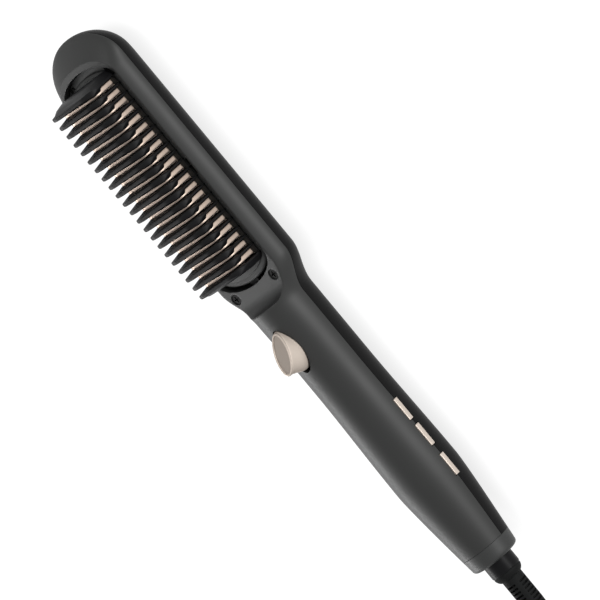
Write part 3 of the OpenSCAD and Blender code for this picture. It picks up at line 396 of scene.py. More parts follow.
def piece(name, bm, body, looks, nodes=(), sharp=32):
    """Puts a finished shape into the frame as an object that rides its body."""
    bmesh.ops.remove_doubles(bm, verts=bm.verts, dist=WELD)
    bmesh.ops.recalc_face_normals(bm, faces=bm.faces)
    for face in bm.faces:
        face.smooth = True
    for edge in bm.edges:
        edge.smooth = (len(edge.link_faces) == 2
                       and edge.calc_face_angle(0) < math.radians(sharp))
    bm.transform(TO_FRAME)
    mesh = bpy.data.meshes.new(name)
    bm.to_mesh(mesh)
    bm.free()
    for look in looks:
        mesh.materials.append(FINISHES[look])
    obj = bpy.data.objects.new(name, mesh)
    bpy.context.scene.collection.objects.link(obj)
    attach(obj, body)
    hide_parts(*nodes)
    return obj


# ------------------------------------------------------------------ cord

CORD_D = 6.0
HANK_X0, HANK_Z0 = 417.005, -12.4
RUN = 101.0                             # length of the hank's long runs
INNER_R, STEP = 18.2, 7.0               # radius of the inmost turn, and from turn to turn
LAYER_RISE = 6.5                        # from one layer of the hank to the next
WAIST_DIP = 8.0                         # how far the strap pinches the runs in
LOOPS = 4.5
RUN_STOPS, TURN_STOPS, FINE_STOPS = 4, 8, 4     # points on a run, on a half turn and between
LEAD_STEP = 6                           # from point to point along the brush, in the lists
# The lead counts from the end of the bend relief, the climb from the end of the hank, and the
# way to the plug from the end of the half turn on top
LEAD = [(0, 0, 0), (6, 0, 0), (12, 0.2, -0.1), (18, 1.8, -0.9), (24, 5, -2.4), (30, 9.4, -4.5),
        (36, 14.6, -6.9), (42, 19.6, -9.2), (48, 23.6, -11.1), (54, 25.8, -12.1),
        (60, 26.3, -12.4)]
CLIMB = [(-6, 0.45, 0.5), (-12, 1.65, 1.8), (-18, 3.45, 3.5), (-24, 5.75, 5.2),
         (-30, 8.25, 6.5), (-36, 10.45, 7.4), (-42, 12.05, 7.8), (-48, 12.75, 7.8),
         (-54, 12.55, 7.5), (-60, 11.75, 7.1), (-66, 10.55, 6.8), (-72, 9.25, 6.65),
         (-78, 7.95, 6.6), (-84, 6.85, 6.6), (-90, 6.25, 6.6)]
TO_PLUG = [(6, -0.15, 0.1), (12, -0.9, 0.6), (18, -2.4, 1.4), (24, -4.2, 2.3), (30, -5.7, 3),
           (36, -6.5, 3.3), (42, -6.7, 3.35)]
TOP_R = 21.6                            # radius of the half turn on top of the hank
RUN_PART = RUN / (2 * RUN + 2 * math.pi * (INNER_R + STEP / 2))     # a run's share of a loop
CROSSINGS = [i + RUN_PART / 2 for i in (1, 2, 3)]       # where the cord climbs a layer
HANK_R0 = INNER_R + CROSSINGS[0] * STEP


def ease(t):
    """From 0 to 1 as t goes from 0 to 1, level at both ends."""
    u = min(max(t, 0), 1)
    return u * u * (3 - 2 * u)


def hank_point(t):
    """A point of the folded hank: long runs, pinched at the strap, and half round ends."""
    c0, c1, c2 = CROSSINGS
    turn = t if t < c0 else 2 * c0 - t if t < c1 else t - 2 if t < c2 else 2 * c0 + 2 - t
    r = HANK_R0 - STEP * turn
    z = HANK_Z0 + LAYER_RISE * sum(ease((t - c) / RUN_PART + 0.5) for c in CROSSINGS)
    part = t - math.floor(t)
    side = 1 if part < 0.5 else -1
    part = part if part < 0.5 else part - 0.5
    if part < RUN_PART:
        s = part / RUN_PART
        return (HANK_X0 + (s if side > 0 else 1 - s) * RUN,
                side * (r - WAIST_DIP * math.sin(math.pi * s) ** 2), z)
    a = math.pi * (part - RUN_PART) / (0.5 - RUN_PART)
    return (HANK_X0 + (RUN if side > 0 else 0) + side * r * math.sin(a), side * r * math.cos(a), z)


def cord_points():
    """The cord's centre line, from the bend relief over the hank to the plug."""
    stops = []
    for half in range(int(2 * LOOPS)):
        stops += [half / 2 + RUN_PART * k / RUN_STOPS for k in range(RUN_STOPS)]
        stops += [half / 2 + RUN_PART + (0.5 - RUN_PART) * k / TURN_STOPS
                  for k in range(TURN_STOPS)]
    turns = [hank_point(t) for t in stops + [LOOPS]]
    end = (turns[-1][0] - LEAD_STEP, turns[-1][1], turns[-1][2])
    lead = [(SPAN + x, y, z) for x, y, z in LEAD]
    top = end[2] + LAYER_RISE + 0.1
    tail = [(end[0] + x, end[1] + y, end[2] + z) for x, y, z in CLIMB]
    tail += [(HANK_X0 - TOP_R * math.sin(turn), -TOP_R * math.cos(turn), top)
             for turn in (math.pi * k / TURN_STOPS for k in range(TURN_STOPS + 1))]
    tail += [(HANK_X0 + x, TOP_R + y, top + z) for x, y, z in TO_PLUG]
    start = (HANK_X0 - LEAD_STEP, HANK_R0, HANK_Z0)
    points = [Vector(p) for p in lead + [start] + turns + [end] + tail]
    fine = []
    for i in range(len(points) - 1):
        p = [points[max(i - 1, 0)], points[i], points[i + 1],
             points[min(i + 2, len(points) - 1)]]
        for k in range(FINE_STOPS):
            u = k / FINE_STOPS
            fine.append(0.5 * (2 * p[1] + (p[2] - p[0]) * u
                               + (2 * p[0] - 5 * p[1] + 4 * p[2] - p[3]) * u * u
                               + (3 * p[1] - p[0] - 3 * p[2] + p[3]) * u ** 3))
    return fine + [points[-1]]


def add_cord():
    """The whole cord as one round tube along its centre line."""
    points = cord_points()
    curve = bpy.data.curves.new("mains_cord", "CURVE")
    curve.dimensions = "3D"
    curve.bevel_depth = CORD_D / 2 * MM
    curve.bevel_resolution = 5
    curve.use_fill_caps = True
    line = curve.splines.new("POLY")
    line.points.add(len(points) - 1)
    for spot, point in zip(line.points, points):
        spot.co = (*place(*point), 1)
    line.use_smooth = True
    curve.materials.append(FINISHES["cord_rubber"])
    cord = bpy.data.objects.new("mains_cord", curve)
    bpy.context.scene.collection.objects.link(cord)
    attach(cord, "brush")
    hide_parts("cord_lead", "cord_hank", "cord_tail")


add_cord()

# ------------------------------------------------------------------ casing form

TIP_L, HEAD_HALF_W, HEAD_FRONT, DECK_H, BACK_D = 17.3, 24.2, 14.5, 7.7, 16.6
RECESS_X0, RECESS_X1, RECESS_HALF_W, RECESS_END = 14.505, 135.105, 19.5, 9.7
NECK_X0, NECK_X1, NECK_R, DECK_X1, CREASE_X = 130.005, 150.005, 15.2, 140.005, 146.305
WAIST_X, BELLY_X, BELLY_R, CAP_X0, BODY_X1, END_R = 190.005, 249.905, 16.2, 289.005, 297.005, 11.9
FILLET_R, FILLET_TURN = 6.5, math.radians(76)       # behind the deck
STEP_X = DECK_X1 + FILLET_R * math.sin(FILLET_TURN)
BACK_TIP, WALL = 23.0, 2.0
NOSE_H, NOSE_X, NOSE_RUN = 1.8, 2.5, 9.0            # the tip's thin front edge, and its climb
NECK_FRONT, NECK_BACK = NECK_R + 0.8, NECK_R + 0.6  # the neck is a little taller than wide
CREASE_RUN = 24
END_TAPER = 1.22                        # over 1, so that the handle narrows more at its end


def mix(a, b, t):
    """From a to b as t goes from 0 to 1."""
    return a + (b - a) * ease(t)


def handle_r(x):
    """The round handle's radius."""
    if x < BELLY_X:
        return mix(NECK_R, BELLY_R, (x - WAIST_X) / (BELLY_X - WAIST_X))
    return BELLY_R - (BELLY_R - END_R) * ((x - BELLY_X) / (BODY_X1 - BELLY_X)) ** END_TAPER


def half_w(x):
    """The casing's half width at its seam."""
    if x < TIP_L:
        return HEAD_HALF_W * math.sqrt(max(0, 1 - (1 - x / TIP_L) ** 2))
    return mix(HEAD_HALF_W, handle_r(x), (x - NECK_X0) / (NECK_X1 - NECK_X0))


def front_c(x):
    """How far the front's curve rises over the seam, before the deck is cut off it."""
    if x < NOSE_X:
        return NOSE_H * math.sqrt(max(0, x) / NOSE_X)
    if x < NECK_X0:
        return min(HEAD_FRONT, NOSE_H + (DECK_H - NOSE_H) * (x - NOSE_X) / NOSE_RUN)
    if x < CREASE_X:
        return mix(HEAD_FRONT, NECK_FRONT, (x - NECK_X0) / (CREASE_X - NECK_X0))
    return mix(NECK_FRONT, handle_r(x), (x - CREASE_X) / CREASE_RUN)


def back_c(x):
    """The back's depth under the seam."""
    if x < BACK_TIP:
        return BACK_D * math.sqrt(max(0, 1 - (1 - x / BACK_TIP) ** 2))
    if x < NECK_X0:
        return BACK_D
    if x < NECK_X1:
        return mix(BACK_D, NECK_BACK, (x - NECK_X0) / (NECK_X1 - NECK_X0))
    if x < BELLY_X:
        return mix(NECK_BACK, BACK_D, (x - WAIST_X) / (BELLY_X - WAIST_X))
    return handle_r(x) + (BACK_D - BELLY_R) * (1 - ease((x - BELLY_X) / (CAP_X0 - BELLY_X)))


def spread(low, high, count):
    """Evenly spaced places from low on, without high."""
    return [low + (high - low) * k / count for k in range(count)]


ROUND_X1, HANDLE_X0 = 24, 150           # where the sections are spaced anew
TIP_STEPS = 40
HEAD_STATIONS = ([TIP_L * (1 - math.cos(math.pi / 2 * k / TIP_STEPS)) for k in range(TIP_STEPS)]
                 + spread(TIP_L, ROUND_X1, 8) + spread(ROUND_X1, NECK_X0, 26))
HANDLE_STATIONS = (spread(HANDLE_X0, WAIST_X, 18) + spread(WAIST_X, BELLY_X, 26)
                   + spread(BELLY_X, CAP_X0, 24) + [CAP_X0])
SIDE, CORNER, DECK = 30, 4, 16          # points up the side, round the deck's edge, across it
BACK_STEPS, CAVITY_STEPS = 90, 48
SEAM_STEP = 0.22                        # bevel along the seam
PAST_STEP = math.radians(52)            # where the deck's edge goes on as a line on the handle
EDGE_SOFT = 0.6                         # radius of the deck's edge
CREASE_SINK, CREASE_SOFT = 0.35, 0.5    # the step behind the deck, and how fast it runs out
NO_EDGE = 1.57                          # a corner past this angle is the top itself
NEAR = 0.01


def deck_height(x):
    """The flat deck, and the fillet that rises from it to the handle."""
    if x <= DECK_X1:
        return DECK_H
    if x <= STEP_X + NEAR:
        return DECK_H + FILLET_R * (1 - math.cos(math.asin(min(1, (x - DECK_X1) / FILLET_R))))
    return math.inf


def front_ring(x):
    """The front shell's section: seam, side, deck edge and deck, then the same mirrored."""
    a, c, top = half_w(x), front_c(x), deck_height(x)
    cut = top < c
    corner = math.asin(top / c) if cut else math.pi / 2 if x < DECK_X1 else PAST_STEP
    sink = CREASE_SINK * (1 - ease((x - STEP_X) / CREASE_SOFT)) if x > STEP_X + NEAR else 0
    soft = 0 if corner > NO_EDGE else min(EDGE_SOFT / a, 0.4 * corner)
    bevel = min(SEAM_STEP, 0.3 * c)
    first = math.asin(bevel / c) if c else 0

    def on(t, lower=0.0):
        return a * math.cos(t), (c - lower) * math.sin(t)

    points = [(max(0, a - bevel), 0.0)]
    points += [on(first + (corner - soft - first) * k / (SIDE - 1)) for k in range(SIDE)]
    if cut:
        start, bend = points[-1], (a * math.cos(corner), top)
        stop = (max(bend[0] - EDGE_SOFT, bend[0] * 0.6), top)
        for k in range(1, CORNER + 1):
            s = k / CORNER
            points.append(tuple((1 - s) ** 2 * p + 2 * s * (1 - s) * q + s * s * r
                                for p, q, r in zip(start, bend, stop)))
        points += [(stop[0] * (1 - k / DECK), top) for k in range(1, DECK + 1)]
    else:
        points += [on(corner - soft + 2 * soft * k / CORNER, sink * k / CORNER)
                   for k in range(1, CORNER + 1)]
        points += [on(corner + soft + (math.pi / 2 - corner - soft) * k / DECK, sink)
                   for k in range(1, DECK + 1)]
    points += [(-y, z) for y, z in reversed(points[:-1])]
    return [(x, y, z) for y, z in points]


def back_ring(x):
    """The back shell's section: one curve from seam to seam, bevelled at both."""
    a, b = half_w(x), back_c(x)
    bevel = min(SEAM_STEP, 0.3 * b)
    first = math.asin(bevel / b) if b else 0
    points = [(max(0, a - bevel), 0.0)]
    points += [(a * math.cos(t), -b * math.sin(t))
               for t in (first + (math.pi - 2 * first) * k / BACK_STEPS
                         for k in range(BACK_STEPS + 1))]
    points += [(-max(0, a - bevel), 0.0)]
    return [(x, y, z) for y, z in points]


def cavity_ring(x, up):
    """The room inside a shell, a wall's thickness in and open past the seam."""
    a, c = half_w(x) - WALL, (front_c(x) if up else back_c(x)) - WALL
    way = 1 if up else -1
    points = [(a * math.cos(turn), way * c * math.sin(turn))
              for turn in (math.pi * k / CAVITY_STEPS for k in range(CAVITY_STEPS + 1))]
    return [(x, y, z) for y, z in points + [(-a, -way), (a, -way)]]


def long_outline(x0, x1, w, end, n=40):
    """An outline with half round ends, as the recess and the comb's plate have."""
    quarter = math.pi / 2
    return ([(x0 + end + end * math.cos(quarter + math.pi * k / n),
              w * math.sin(quarter + math.pi * k / n)) for k in range(n + 1)]
            + [(x1 - end + end * math.cos(-quarter + math.pi * k / n),
                w * math.sin(-quarter + math.pi * k / n)) for k in range(n + 1)])


# ------------------------------------------------------------------ shells

TRIGGER_X0, TRIGGER_X1, TRIGGER_HALF_W = 156.305, 178.0, 5.4
TEAR_POWER, TEAR_SKEW = 0.53, 1.1       # a lower power is blunter, a lower skew more even
OPENING_MORE, OPENING_GAP = 1.6, 0.4    # room past the trigger's end and round it
TRIGGER_FLOOR, PIVOT_X, PIVOT_Z, CRANK_Z = 9.4, 158.805, 8.6, 3.79
EAR_Y0, EAR_Y1, EAR_R = 6.4, 8.4, 2.8   # the two ears that hold the trigger's pin
BUTTON_XS, BUTTON_L, BUTTON_W = (218.405, 233.105, 250.005), 11.7, 2.5
SLOT_END_GAP, SLOT_SIDE_GAP = 0.3, 0.35
SCREW_X, SCREW_Y, SCREW_WELL_R = 136.005, 14.7, 2.7
TIP_SCREW_X, TIP_SCREW_Y = 19.605, 13.3
POST_TOP, PILOT_R, PILOT_BOTTOM = -0.2, 1.48, -8.5
RIB_XS, RIB_HALF = (31.5, 73.96, 116.4), 0.9
SLAB_TOP, SLAB_BOTTOM, TRAY_BOTTOM = 3.0, 0.5, -3.1
ROD_CHANNEL = 129.1, 150.5, -4.5, 4.5, -2, 5.69


def tear_half(s, skew=TEAR_SKEW, power=TEAR_POWER):
    """The trigger's half width at a share s of its length."""
    return TRIGGER_HALF_W * max(0.0, math.sin(math.pi * s ** skew)) ** power


def trigger_opening(n=40):
    """The outline of the trigger's hole in the front."""
    x0, x1 = TRIGGER_X0 - OPENING_GAP, TRIGGER_X1 + OPENING_MORE
    stops = [(1 - math.cos(math.pi * k / n)) / 2 for k in range(n + 1)]
    upper = [(x0 + s * (x1 - x0), tear_half(s) + OPENING_GAP) for s in stops]
    return upper + [(x, -y) for x, y in reversed(upper)]


def button_slots():
    """What is cut from both shells round the three buttons."""
    end, side = BUTTON_L / 2, BUTTON_W / 2
    return joined(*[block(x - end - SLOT_END_GAP, x + end + SLOT_END_GAP,
                          handle_r(x) - WALL - 3, handle_r(x) + 5,
                          -side - SLOT_SIDE_GAP, side + SLOT_SIDE_GAP)
                    for x in BUTTON_XS])


def add_buttons():
    """Each button: a rounded cap in the casing's slot, on the flange that holds it inside."""
    for name, x in zip(("high_button", "low_button", "power_button"), BUTTON_XS):
        low, high = (TO_FRAME.inverted() @ Vector(c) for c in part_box(name))
        cap = softened(block(x - BUTTON_L / 2, x + BUTTON_L / 2, low.y + 0.5, high.y,
                             -BUTTON_W / 2, BUTTON_W / 2), 0.3, segments=3)
        flange = block(low.x, high.x, low.y, low.y + 1.0, low.z, high.z)
        piece(name + "_cap", carved(cap, flange, "UNION"), name,
              ["button_champagne"], [name])


def add_front_shell():
    """The front half: deck, recess, fillet and handle, with the holes that pieces sit in."""
    stations = (HEAD_STATIONS + spread(NECK_X0, DECK_X1, 12)
                + [DECK_X1 + FILLET_R * math.sin(FILLET_TURN * k / 12) for k in range(13)]
                + [STEP_X + s for s in (0.06, 0.2, 0.35, 0.6)] + spread(147.4, HANDLE_X0, 3)
                + HANDLE_STATIONS)
    bm = lofted([front_ring(x) for x in stations])
    bm = carved(bm, prism("z", long_outline(RECESS_X0, RECESS_X1, RECESS_HALF_W, RECESS_END),
                          -1, 40))
    bm = carved(bm, lofted([cavity_ring(x, True) for x in
                            [HANDLE_X0 - 1] + spread(HANDLE_X0, WAIST_X, 8)
                            + spread(WAIST_X, CAP_X0, 20) + [CAP_X0 + 1]]))
    bm = carved(bm, block(*ROD_CHANNEL))
    for side in (-1, 1):
        bm = carved(bm, post(SCREW_X, side * SCREW_Y, SCREW_WELL_R, DECK_H - 2, DECK_H + 3))
    bm = carved(bm, prism("z", trigger_opening(), 5, 25))
    bm = carved(bm, button_slots())

    def round_deck_edge(edge):
        return (all(abs(v.co.z - DECK_H) < NEAR for v in edge.verts)
                and any(f.normal.z < 0.3 for f in edge.link_faces)
                and abs(edge.verts[0].co.y) < RECESS_HALF_W + NEAR)

    bm = softened(bm, 0.3, angle=60, tidy=False, keep=round_deck_edge)
    ears = [carved(block(PIVOT_X - 3, PIVOT_X + 3, *sorted((side * EAR_Y0, side * EAR_Y1)),
                         PIVOT_Z - EAR_R, NECK_R - EAR_R),
                   pin_across(PIVOT_X, PIVOT_Z, 1.27, 20)) for side in (-1, 1)]
    bm = carved(bm, joined(*ears), "UNION")
    return piece("front_casing", bm, "brush", ["casing_charcoal"],
                 ["front_shell"])


def under_arc(across, depth, middle=0, n=24):
    """The lower half of an oval."""
    return [(across * math.cos(math.pi * (1 + k / n)),
             middle + depth * math.sin(math.pi * (1 + k / n))) for k in range(n + 1)]


def add_back_shell():
    """The back half, hollow, with its ribs under the tray and its screw posts."""
    stations = HEAD_STATIONS + spread(NECK_X0, HANDLE_X0, 20) + HANDLE_STATIONS
    bm = lofted([back_ring(x) for x in stations])
    bm = carved(bm, lofted([cavity_ring(x, False) for x in
                            [3.3, 4, 5, 6.5, 8, 10, 13, 17, 20, 25] + spread(30, NECK_X0, 10)
                            + spread(NECK_X0, HANDLE_X0, 8) + spread(HANDLE_X0, CAP_X0, 30)
                            + [CAP_X0 + 1]]))
    bm = carved(bm, button_slots())
    for x in RIB_XS:
        across, depth = half_w(x) - WALL / 2, BACK_D - WALL / 2
        rib = prism("x", under_arc(across, depth), x - RIB_HALF, x + RIB_HALF)
        rib = carved(rib, block(x - 2, x + 2, -30, 30, TRAY_BOTTOM, 2))
        rib = carved(rib, prism("x", under_arc(0.6 * across, 0.5 * depth, TRAY_BOTTOM),
                                x - 2, x + 2))
        bm = carved(bm, rib, "UNION")
    for x, y, r in ((SCREW_X, SCREW_Y, 3.2), (TIP_SCREW_X, TIP_SCREW_Y, 2.2)):
        for side in (-1, 1):
            floor_z = -back_c(x) * math.sqrt(max(0, 1 - ((y + r) / half_w(x)) ** 2)) + 1
            bm = carved(bm, post(x, side * y, r, floor_z, POST_TOP), "UNION")
            bm = carved(bm, post(x, side * y, PILOT_R, PILOT_BOTTOM, 1))
    # Its finish is the darker, duller copy of the casing, which paints the back's shade.
    return piece("back_casing", bm, "brush", ["casing_back"], ["back_shell"])


# ------------------------------------------------------------------ comb and plates

FIN_FIRST, FIN_PITCH, FIN_COUNT = 23.5, 4.805, 22
FIN_LAST = FIN_FIRST + FIN_PITCH * (FIN_COUNT - 1)
FIN_HALF_W, FIN_R, FIN_TOP, PLATE_TOP, WEB_T, LOBE = 17.1, 8.0, 25.7, 20.7, 0.7, 2.4
COMB_X0, COMB_X1, COMB_HALF_W, COMB_BOTTOM, COMB_TOP = 17.8, 132.305, 18.4, 4.7, 7.2
COMB_CORNER = 9.2
LIP = 1.3                               # how far the comb's rounded lip goes past its plate
LIP_LEVELS = ((0, COMB_BOTTOM), (0, 5.5), (0.12, 5.85), (0.4, 6.15), (0.9, 6.4), (1.6, 6.55))
NOTCH_X, NOTCH_HALF = 76.36, 4.25       # the notch in the comb's button side
HOOK_XS, HOOK_HALF, HOOK_BOTTOM = (45.5, 102.4), 3, -4.4
PLATE_SHIFT, PLATE_T, PLATE_HALF_W, PLATE_R = 2.2, 2.1, 13.5, 6.0
# Levels of an end wedge: share of its reach, half width, top and corner radius
WEDGE_LEVELS = ((0, 17.1, 25.6, 8.0), (0.12, 16.9, 25.2, 8.0), (0.72, 15.3, 21.3, 6.4),
                (0.92, 14.5, 17.4, 5.0), (1, 13.9, 15.4, 4.0))
# A fin's rim from above: its end at the buttons, then its far end. Both come to a point
BUTTON_END = [(0.35, 17.1), (1.1, 16.2), (2.1, 15.1), (2.4, 13.8), (2.4, 12.6), (1.344, -2)]
FAR_END = [(1.2, -9.5), (0.35, -14.8), (0.35, -17.1), (-0.35, -17.1), (-0.35, -14.8),
           (-2.2, -9.5), (-1.344, 2), (-0.9, 15.6), (-0.35, 17.1)]
RIM_FLAT, RIM_SHOULDER = 0.75, 20.5     # half of the rim's flat top, and where it is widest


def arch(w, top, r, bottom, n=10):
    """Square below and round above, as a fin or a plate is seen along the brush."""
    corner = [(math.cos(math.pi / 2 * k / n), math.sin(math.pi / 2 * k / n))
              for k in range(n + 1)]
    return ([(-w, bottom)] + [(-w + r - r * c, top - r + r * s) for c, s in corner]
            + [(w - r + r * s, top - r + r * c) for c, s in corner] + [(w, bottom)])


def fin():
    """One fin: a thin web, and the wider rim that wraps the plates and leans at its ends."""
    rim = carved(prism("x", arch(FIN_HALF_W, FIN_TOP, FIN_R, 17.0), -LOBE, LOBE),
                 prism("x", arch(14.0, 21.2, 6.5, 0), -5, 5))
    rim = carved(rim, prism("z", BUTTON_END + FAR_END, 10, 40), "INTERSECT")
    narrowing = [(-RIM_FLAT, FIN_TOP + NEAR), (RIM_FLAT, FIN_TOP + NEAR), (LOBE, RIM_SHOULDER),
                 (LOBE, 0), (-LOBE, 0), (-LOBE, RIM_SHOULDER)]
    rim = carved(rim, prism("y", narrowing, -20, 20), "INTERSECT")
    web = prism("x", arch(FIN_HALF_W, FIN_TOP - 0.3, FIN_R, COMB_BOTTOM + 0.5),
                -WEB_T / 2, WEB_T / 2)
    return softened(carved(rim, web, "UNION"), 0.16, angle=35)


def end_wedge(side, reach):
    """The outer side of the first and last fin, which slopes in on its top and both ends."""
    wedge = lofted([[(side * share * reach, y, z) for y, z in arch(w, top, r, 6.2)]
                    for share, w, top, r in WEDGE_LEVELS])
    return softened(wedge, 0.2, angle=35)


def fin_steps(count):
    """The places of the first fins, as many as count."""
    return [FIN_FIRST + FIN_PITCH * k for k in range(count)]


def add_comb():
    """The sliding comb: its plate with a slot for each heating plate, and the fins on it."""
    def plan(inset, lip=0.0):
        return long_outline(COMB_X0 + inset, COMB_X1 + lip - inset, COMB_HALF_W - inset,
                            COMB_CORNER - inset)

    plate = lofted([[(x, y, z) for x, y in plan(inset, LIP)] for inset, z in LIP_LEVELS])
    plate = carved(plate, softened(prism("z", plan(1.7), COMB_BOTTOM + 0.5, COMB_TOP), 0.2),
                   "UNION")
    plate = carved(plate, repeated(
        block(PLATE_SHIFT - PLATE_T / 2 - 0.15, PLATE_SHIFT + PLATE_T / 2 + 1.15,
              -PLATE_HALF_W - 0.3, PLATE_HALF_W + 0.3, COMB_BOTTOM - 1, COMB_TOP + 1),
        fin_steps(FIN_COUNT - 1)))
    plate = carved(plate, block(NOTCH_X - NOTCH_HALF, NOTCH_X + NOTCH_HALF, COMB_HALF_W - 1.4,
                                COMB_HALF_W + 1, COMB_BOTTOM - 1, COMB_TOP + 1))
    bm = carved(plate, repeated(fin(), fin_steps(FIN_COUNT)), "UNION")
    bm = carved(bm, repeated(end_wedge(-1, 3.4), [FIN_FIRST]), "UNION")
    bm = carved(bm, repeated(end_wedge(1, 2.9), [FIN_LAST]), "UNION")
    for x in HOOK_XS:
        for side in (-1, 1):
            for low, high, top in ((17.7, 18.3, COMB_BOTTOM + 0.1),
                                   (16.2, 17.75, HOOK_BOTTOM + 1)):
                hook = block(x - HOOK_HALF, x + HOOK_HALF, *sorted((side * low, side * high)),
                             HOOK_BOTTOM, top)
                bm = carved(bm, hook, "UNION")
    bm = carved(bm, block(COMB_X1 - 4.4, COMB_X1 - 2.6, -1.5, 1.5, 2.7, COMB_BOTTOM + 0.1),
                "UNION")
    for face in bm.faces:
        face.material_index = int(face.calc_center_median().z < COMB_TOP + NEAR)
    return piece("comb_of_fins", bm, "comb", ["comb_black", "comb_plate"],
                 ["comb"])


def add_plates():
    """The heating plates, one behind each fin but the last, on their slab."""
    plate = softened(prism("x", arch(PLATE_HALF_W, PLATE_TOP, PLATE_R, SLAB_TOP - 0.5),
                           -PLATE_T / 2, PLATE_T / 2), 0.3, segments=3)
    bm = carved(block(FIN_FIRST, FIN_LAST - 0.5, -14.6, 14.6, SLAB_BOTTOM, SLAB_TOP),
                repeated(plate, [x + PLATE_SHIFT for x in fin_steps(FIN_COUNT - 1)]), "UNION")
    return piece("plate_rack", bm, "brush", ["plate_copper"],
                 ["heating_plates"])


# ------------------------------------------------------------------ trigger


def trigger_ring(x0, x1, power, skew, inset, height, n=64):
    """One level of the trigger: a teardrop drawn in by inset, its height given for each x."""
    plan = []
    for k in range(n):
        turn = 2 * math.pi * k / n
        s = (1 - math.cos(turn)) / 2
        half = tear_half(s, skew, power)
        plan.append(Vector((x0 + s * (x1 - x0), half if turn <= math.pi else -half)))
    ring = []
    for k, point in enumerate(plan):
        way = (plan[(k + 1) % n] - plan[k - 1]).normalized()
        x, y = point + inset * Vector((way.y, -way.x))
        ring.append((x, y, height(x)))
    return ring


SKIRT_Z = 14.6                          # below this the trigger's side is upright
FACE_Z, FACE_SLOPE, FACE_X = 17.2, 0.485, 157.9     # the sloping face that the finger presses
RIM_DROP, FIELD_DROP = 0.8, 0.34        # the outer rim and the inner field under that face
# The face's edge, from the rim in over the crest and down to the field: inset and drop
FACE_EDGE = ((0, RIM_DROP), (0.05, 0.5), (0.22, 0.2), (0.5, 0.03), (0.9, 0), (1.0, 0.04),
             (1.08, 0.3), (1.12, FIELD_DROP))


def add_trigger():
    """The trigger: upright skirt, waisted side and sloping face, and its crank on the pin."""
    def slope(drop):
        return lambda x: FACE_Z + FACE_SLOPE * (x - FACE_X) - drop

    def level(z):
        return lambda x: z

    base = (TRIGGER_X0, TRIGGER_X1, TEAR_POWER, TEAR_SKEW)
    top = (TRIGGER_X0 + 0.3, TRIGGER_X1 - 2.9, 0.46, 1.02)
    low, high = trigger_ring(*base, 0, level(SKIRT_Z)), trigger_ring(*top, 0, slope(RIM_DROP))
    rings = [trigger_ring(*base, 0, level(TRIGGER_FLOOR)), low]
    for share in (0.15, 0.35, 0.6, 0.85):
        out = math.sin(math.pi / 2 * share) ** 2
        rings.append([tuple(p + (q - p) * w for p, q, w in zip(a, b, (out, out, share)))
                      for a, b in zip(low, high)])
    rings += [trigger_ring(*top, inset, slope(drop)) for inset, drop in FACE_EDGE]
    bm = lofted(rings)
    crank = carved(pin_across(PIVOT_X, PIVOT_Z, 2.4, 6.1),
                   block(PIVOT_X - 1.5, PIVOT_X + 1.5, -2.1, 2.1, CRANK_Z, PIVOT_Z), "UNION")
    crank = carved(crank, pin_across(PIVOT_X, CRANK_Z, 1.5, 2.1), "UNION")
    crank = carved(crank, pin_across(PIVOT_X, CRANK_Z, 1.0, 4.0), "UNION")
    bm = carved(bm, crank, "UNION")
    bm = carved(bm, pin_across(PIVOT_X, PIVOT_Z, 1.3, 20))
    for face in bm.faces:
        middle = face.calc_center_median()
        if abs(middle.z - slope(FIELD_DROP)(middle.x)) < 0.02:
            face.material_index = 1
    return piece("trigger_lever", bm, "trigger",
                 ["trigger_champagne", "trigger_field"], ["trigger"])


def add_spring(turns=5, steps=24, sides=8):
    """The coil spring under the trigger, sized to the spring part's box."""
    low, high = (TO_FRAME.inverted() @ Vector(c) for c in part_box("trigger_spring"))
    middle, wire = (low + high) / 2, 0.4
    radius, rise = (high.y - low.y) / 2 - wire, high.z - low.z - 2 * wire
    rings = []
    for k in range(steps * turns + 1):
        turn = 2 * math.pi * k / steps
        out = Vector((math.cos(turn), math.sin(turn), 0))
        centre = Vector((middle.x, middle.y, low.z + wire + rise * k / (steps * turns)))
        rings.append([centre + out * (radius + wire * math.cos(a))
                      + Vector((0, 0, wire * math.sin(a)))
                      for a in (2 * math.pi * j / sides for j in range(sides))])
    spring = piece("return_spring", lofted(rings), "brush", ["steel"],
                   ["trigger_spring"], sharp=80)
    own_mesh(spring)


# ------------------------------------------------------------------ ring, sleeve and relief

SLEEVE_R, RELIEF_R, SLEEVE_X1 = 7.45, 5.15, 304.005
TAIL_X0, TAIL_R = 274.005, 4.95         # the sleeve's inner end, on which the slip rings sit
FLANGE_X0, FLANGE_X1, FLANGE_R = 290.605, 292.605, 9.65
RING_BORE_R, RING_EDGE_R, GROOVE = 9.95, 2, 0.25
RELIEF_ROOT_R = 4.1
SLOT_STATIONS, SLOT_FIRST, SLOT_PITCH, SLOT_HALF = 15, 7, 1.9, 0.475
SLOT_ROWS, SLOT_START, SLOT_TURN = 4, 56, 62        # degrees


def arc(cx, cy, r, a0, a1, n):
    """Points of an arc from a0 to a1 degrees."""
    return [(cx + r * math.cos(math.radians(a0 + (a1 - a0) * k / n)),
             cy + r * math.sin(math.radians(a0 + (a1 - a0) * k / n))) for k in range(n + 1)]


